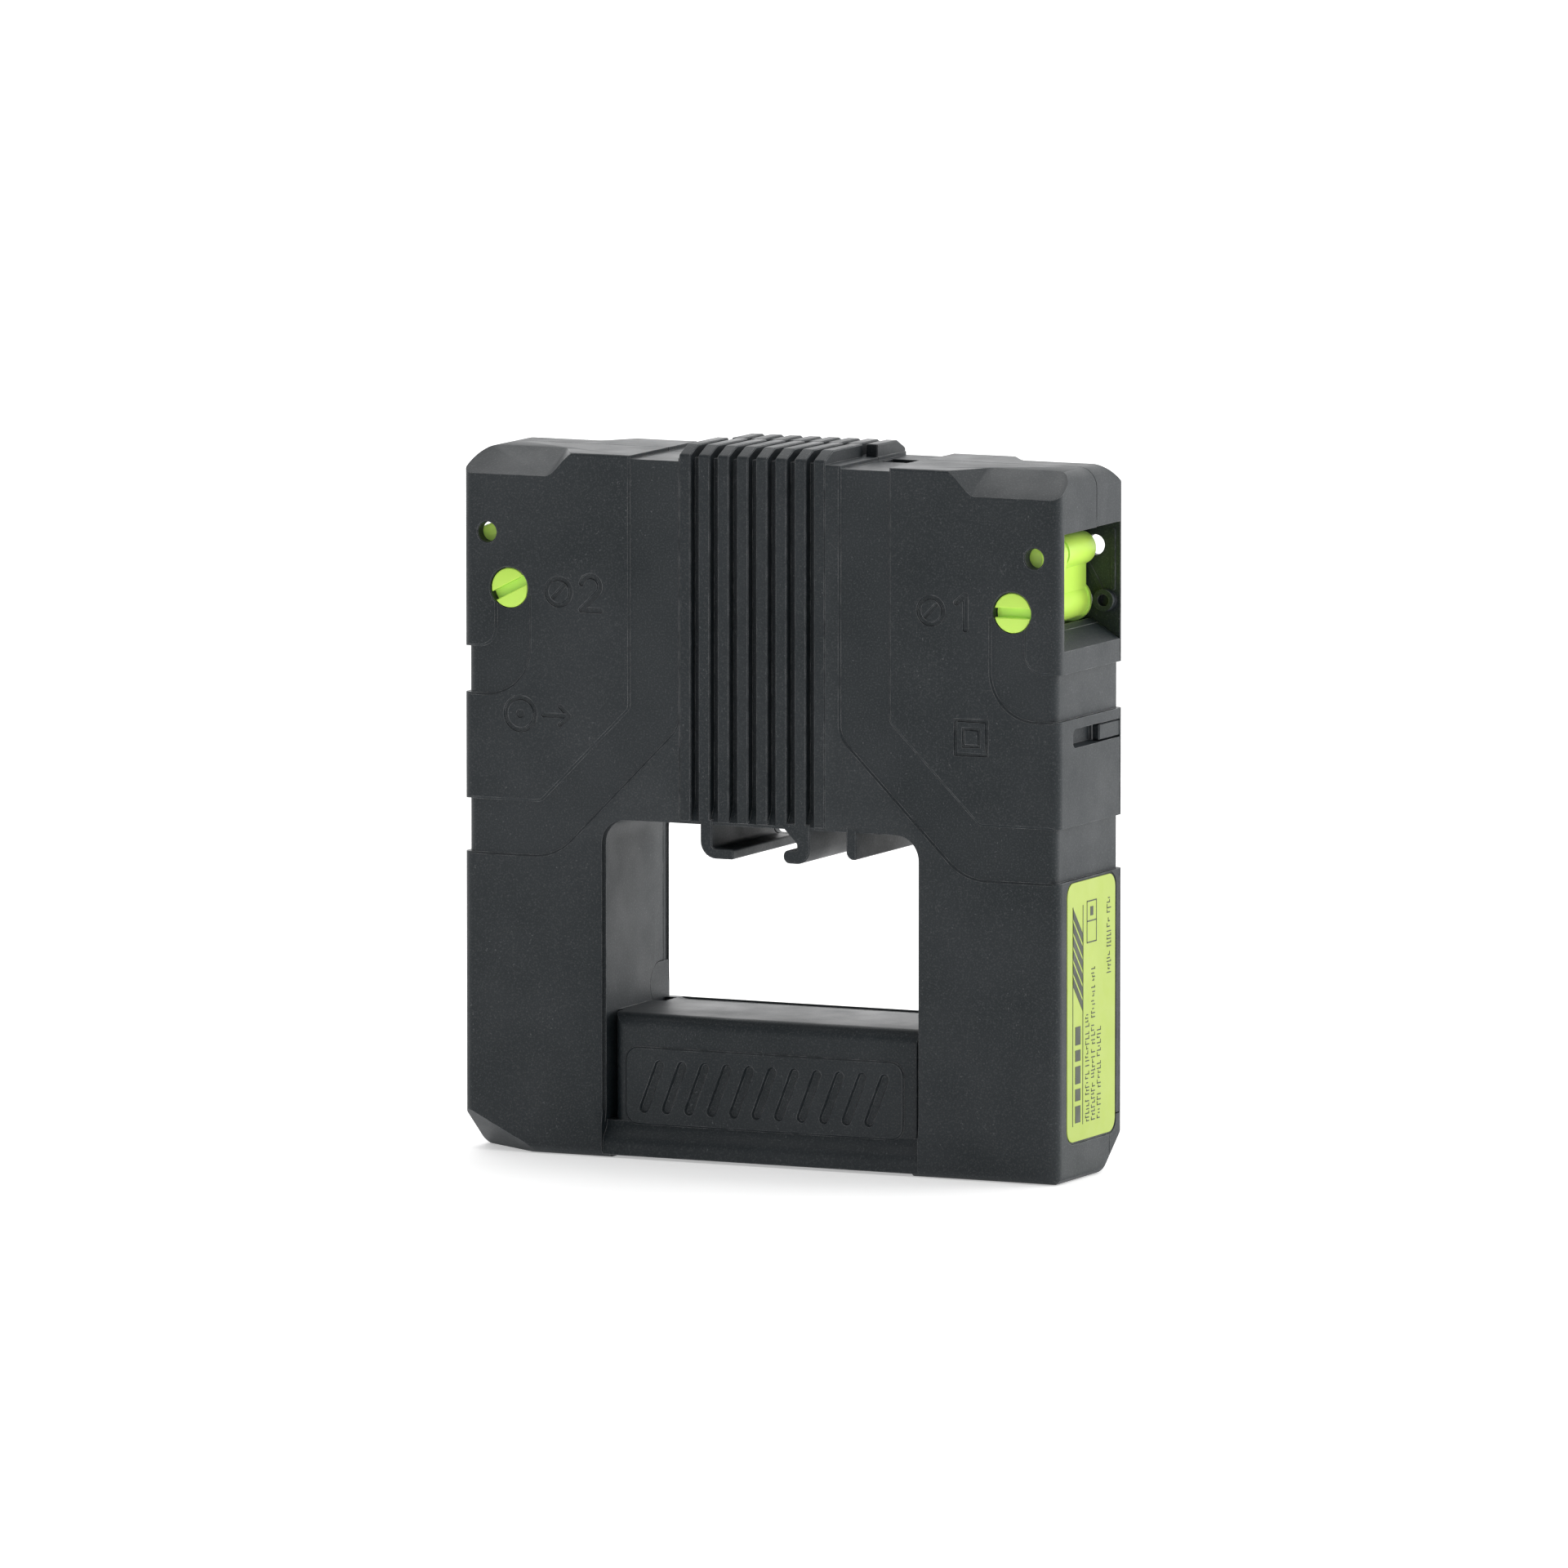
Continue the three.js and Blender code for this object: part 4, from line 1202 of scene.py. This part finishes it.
def text_line(y, height, start, end):
    """Little upright bars of uneven length and spacing, like a line of small print."""
    crossed = 0.7  # share of the bars that have a cross stroke
    letter_gap, word_gap = 0.17, 0.5
    outlines = []
    z = start
    while z < end:
        word = z + random.uniform(2.0, 5.2)
        while z < min(word, end):
            wide = random.uniform(0.28, 0.62)
            low = y + height * random.choice((0, 0, 0.28))
            high = y + height * random.choice((1, 0.72, 1))
            outlines.append(rectangle(low, high, z, z + PEN))
            if random.random() < crossed:
                cross = random.choice((low, high - PEN))
                outlines.append(rectangle(cross, cross + PEN, z, z + wide))
            z += wide + letter_gap
        z += word_gap
    return outlines


def label_print():
    """Bars and strokes where a label has its print. The label reads upwards: across
    it is Y, along it is Z."""
    random.seed(7)
    low_y, high_y = LABEL_LOW.y, LABEL_HIGH.y
    low_z, high_z = LABEL_LOW.z, LABEL_HIGH.z
    column, column_end = low_y + 1.8, low_y + 5.4
    stripes_from, stripes_to = low_z + 18.0, high_z - 3.4
    outlines = [
        rectangle(column, column + LINE, low_z + 2.2, stripes_to),
        rectangle(column_end - LINE, column_end, low_z + 2.2, stripes_to),
    ]
    for start, end in ((2.6, 5.0), (5.7, 7.4), (8.1, 10.6), (11.3, 12.9), (13.6, 16.2)):
        outlines.append(rectangle(column + 0.9, column + 2.7, low_z + start, low_z + end))
    drop, wide, stripes = 4.2, 1.4, 6
    pitch = (stripes_to - stripes_from - drop - wide) / (stripes - 1)
    for index in range(stripes):
        z = stripes_from + index * pitch
        outlines.append([
            (column, z + drop), (column, z + drop + wide), (column_end, z + wide), (column_end, z),
        ])
    for row, end in ((6.2, 18.0), (8.2, 24.0), (10.2, 15.5)):
        outlines.extend(text_line(low_y + row, 1.25, low_z + 2.4, low_z + end))
    outlines.extend(text_line(high_y - 2.9, 1.4, high_z - 14.0, high_z - 3.0))
    icon_y, icon_z = low_y + 6.6, high_z - 9.0
    for y0, y1, z0, z1 in (
        (0, LINE, 0, 6), (3.2, 3.38, 0, 6), (0, 3.38, 0, LINE),
        (0, 3.38, 3.0, 3.18), (0, 3.38, 5.82, 6), (1.2, 2.2, 3.8, 5.1),
    ):
        outlines.append(rectangle(icon_y + y0, icon_y + y1, icon_z + z0, icon_z + z1))
    return outlines


def build_label():
    """The film, and its print as one piece of thin bars on it."""
    radius, rim, sunk = 2.0, 0.03, 0.01
    film = rounded(LABEL_LOW.y, LABEL_HIGH.y, LABEL_LOW.z, LABEL_HIGH.z, radius, FINE_ARC)
    face = LABEL_HIGH.x - INK
    mesh = prism("x", film, [(LABEL_LOW.x, 0), (face - rim, 0), (face, -rim)])
    piece("label_film", mesh, label_film(), "housing", "label_film", "rating_label")
    shape = bmesh.new()
    for outline in label_print():
        shape.from_mesh(plain("x", outline, face - sunk, LABEL_HIGH.x))
    mesh = bpy.data.meshes.new("label_print")
    shape.to_mesh(mesh)
    shape.free()
    piece("label_print", mesh, ink(), "housing", "label_film")


# ---- carried-over CAD nodes ----

def dress(material, *nodes):
    for node in nodes:
        mesh = frame["nodes"][node].data
        mesh.materials.clear()
        mesh.materials.append(material)


def dress_inner_parts():
    steel = striped_metal(
        "core_steel", (0.10, 0.105, 0.11), (0.22, 0.23, 0.24),
        scale=(2500, 60, 2500), roughness=0.4, grain=0.5,
    )
    brass = striped_metal(
        "brass_strip", (0.48, 0.33, 0.09), (0.60, 0.43, 0.14),
        scale=(300, 6000, 300), roughness=0.28, grain=0.2,
    )
    spring = striped_metal(
        "spring_strip", (0.36, 0.38, 0.40), (0.50, 0.52, 0.54),
        scale=(300, 7000, 300), roughness=0.25, grain=0.2,
    )
    winding = wound("copper_wire", (0.16, 0.04, 0.015), (0.50, 0.17, 0.06), 420, 0.8)
    wire = wound("lead_copper", (0.30, 0.09, 0.03), (0.52, 0.19, 0.07), 900, 1.0)
    nylon = moulded("nylon", (0.62, 0.58, 0.49), (0.70, 0.67, 0.58), 0.45, 0.15).material
    sleeving = moulded("sleeving", (0.20, 0.02, 0.012), (0.28, 0.03, 0.016), 0.5, 0.5).material
    dress(steel, "magnetic_core")
    dress(winding, "secondary_winding")
    dress(film_tape(), "winding_tape")
    dress(nylon, "winding_bobbin")
    dress(cell_foam(), "core_pad_bottom", "core_pad_left", "core_pad_right")
    dress(insert_plastic(), "terminal_block_s1", "terminal_block_s2")
    dress(brass, "contact_bar_s1", "contact_bar_s2")
    dress(spring, "clamp_spring_s1", "clamp_spring_s2")
    dress(wire, "lead_wire_s1", "lead_wire_s2")
    dress(sleeving, "lead_sleeve_s1", "lead_sleeve_s2")


# ---- stage ----

def build_floor():
    nodes = Nodes("floor_paint")
    tone = nodes.noise(3, 3)
    nodes.out(
        Base_Color=nodes.blend(tone, (0.86, 0.86, 0.86), (0.90, 0.90, 0.90)),
        Roughness=nodes.spread(nodes.noise(30, 2), 0.7, 0.85),
    )
    nodes.set(Emission_Strength=0.4, Emission_Color=(1, 1, 1, 1))
    half = 12.0
    mesh = bpy.data.meshes.new("floor")
    corners = [(x, y, 0) for x, y in rectangle(-half, half, -half, half)]
    mesh.from_pydata(corners, [], [(0, 1, 2, 3)])
    mesh.materials.append(nodes.material)
    add("floor", mesh)


def area_light(name, place, target, size, power):
    light = bpy.data.lights.new(name, "AREA")
    light.shape = "RECTANGLE"
    light.size, light.size_y = size
    light.energy = power
    made = add(name, light)
    made.location = place
    made.rotation_euler = (Vector(target) - Vector(place)).to_track_quat("-Z", "Y").to_euler()


def build_world():
    """A soft studio: white behind the object, and much dimmer in front of it."""
    world = bpy.data.worlds.new("studio")
    world.use_nodes = True
    tree = world.node_tree
    place = tree.nodes.new("ShaderNodeTexCoord")
    split = tree.nodes.new("ShaderNodeSeparateXYZ")
    ramp = tree.nodes.new("ShaderNodeMapRange")
    ramp.interpolation_type = "SMOOTHSTEP"
    for key, number in (("From Min", -0.9), ("From Max", 0.8), ("To Min", 0.24), ("To Max", 1.3)):
        ramp.inputs[key].default_value = number
    tree.links.new(place.outputs["Generated"], split.inputs["Vector"])
    tree.links.new(split.outputs["Y"], ramp.inputs["Value"])
    tree.links.new(ramp.outputs["Result"], tree.nodes["Background"].inputs["Strength"])
    tree.nodes["Background"].inputs["Color"].default_value = (1, 1, 1, 1)
    bpy.context.scene.world = world


def build_lights():
    middle = (0, 0, 0.05)
    area_light("top_soft", (0, 1.5, 5.0), middle, (9, 9), 150)
    area_light("right_soft", (1.5, 0.9, 0.55), middle, (0.9, 1.0), 10)
    area_light("rear_card", (-1.4, 3.0, 0.55), middle, (3.0, 1.1), 16)
    bpy.context.scene.view_settings.view_transform = "Standard"


AZIMUTH = math.radians(25.0)
ELEVATION = math.radians(6.8)
FOCAL_PIXELS = 24500
PIXELS_PER_MM = 8.705
IMAGE = 1920
SENSOR = 36.0
AIM_RIGHT = 3.56  # from the middle of the front face to the point that the camera faces
AIM_UP = 4.42


def build_camera():
    """A long lens, a little above and to the right of the front face."""
    ahead = Vector((
        -math.sin(AZIMUTH) * math.cos(ELEVATION),
        math.cos(AZIMUTH) * math.cos(ELEVATION),
        -math.sin(ELEVATION),
    ))
    right = Vector((math.cos(AZIMUTH), math.sin(AZIMUTH), 0))
    up = right.cross(ahead)
    aim = Vector((0, FRONT, HEIGHT / 2)) * MM + right * AIM_RIGHT * MM + up * AIM_UP * MM
    camera = bpy.data.cameras.new("camera")
    camera.sensor_width = SENSOR
    camera.lens = FOCAL_PIXELS * SENSOR / IMAGE
    camera.clip_end = 100
    made = add("camera", camera)
    distance = FOCAL_PIXELS / PIXELS_PER_MM * MM
    made.location = aim - ahead * distance
    made.rotation_euler = ahead.to_track_quat("-Z", "Y").to_euler()
    bpy.context.scene.camera = made


# ---- assembly ----

build_camera()
build_world()
build_lights()
build_floor()

case_material = black_plastic()
body = outside()
hollow = inside()
front_mesh = build_front_shell(body.copy(), hollow.copy())
rear_mesh = build_rear_shell(body.copy(), hollow.copy())
piece("case_front", front_mesh, case_material, "housing", "case_plastic", "front_shell")
piece("case_rear", rear_mesh, case_material, "housing", "case_plastic", "rear_shell")
build_levers(lime_plastic())
build_label()
dress_inner_parts()
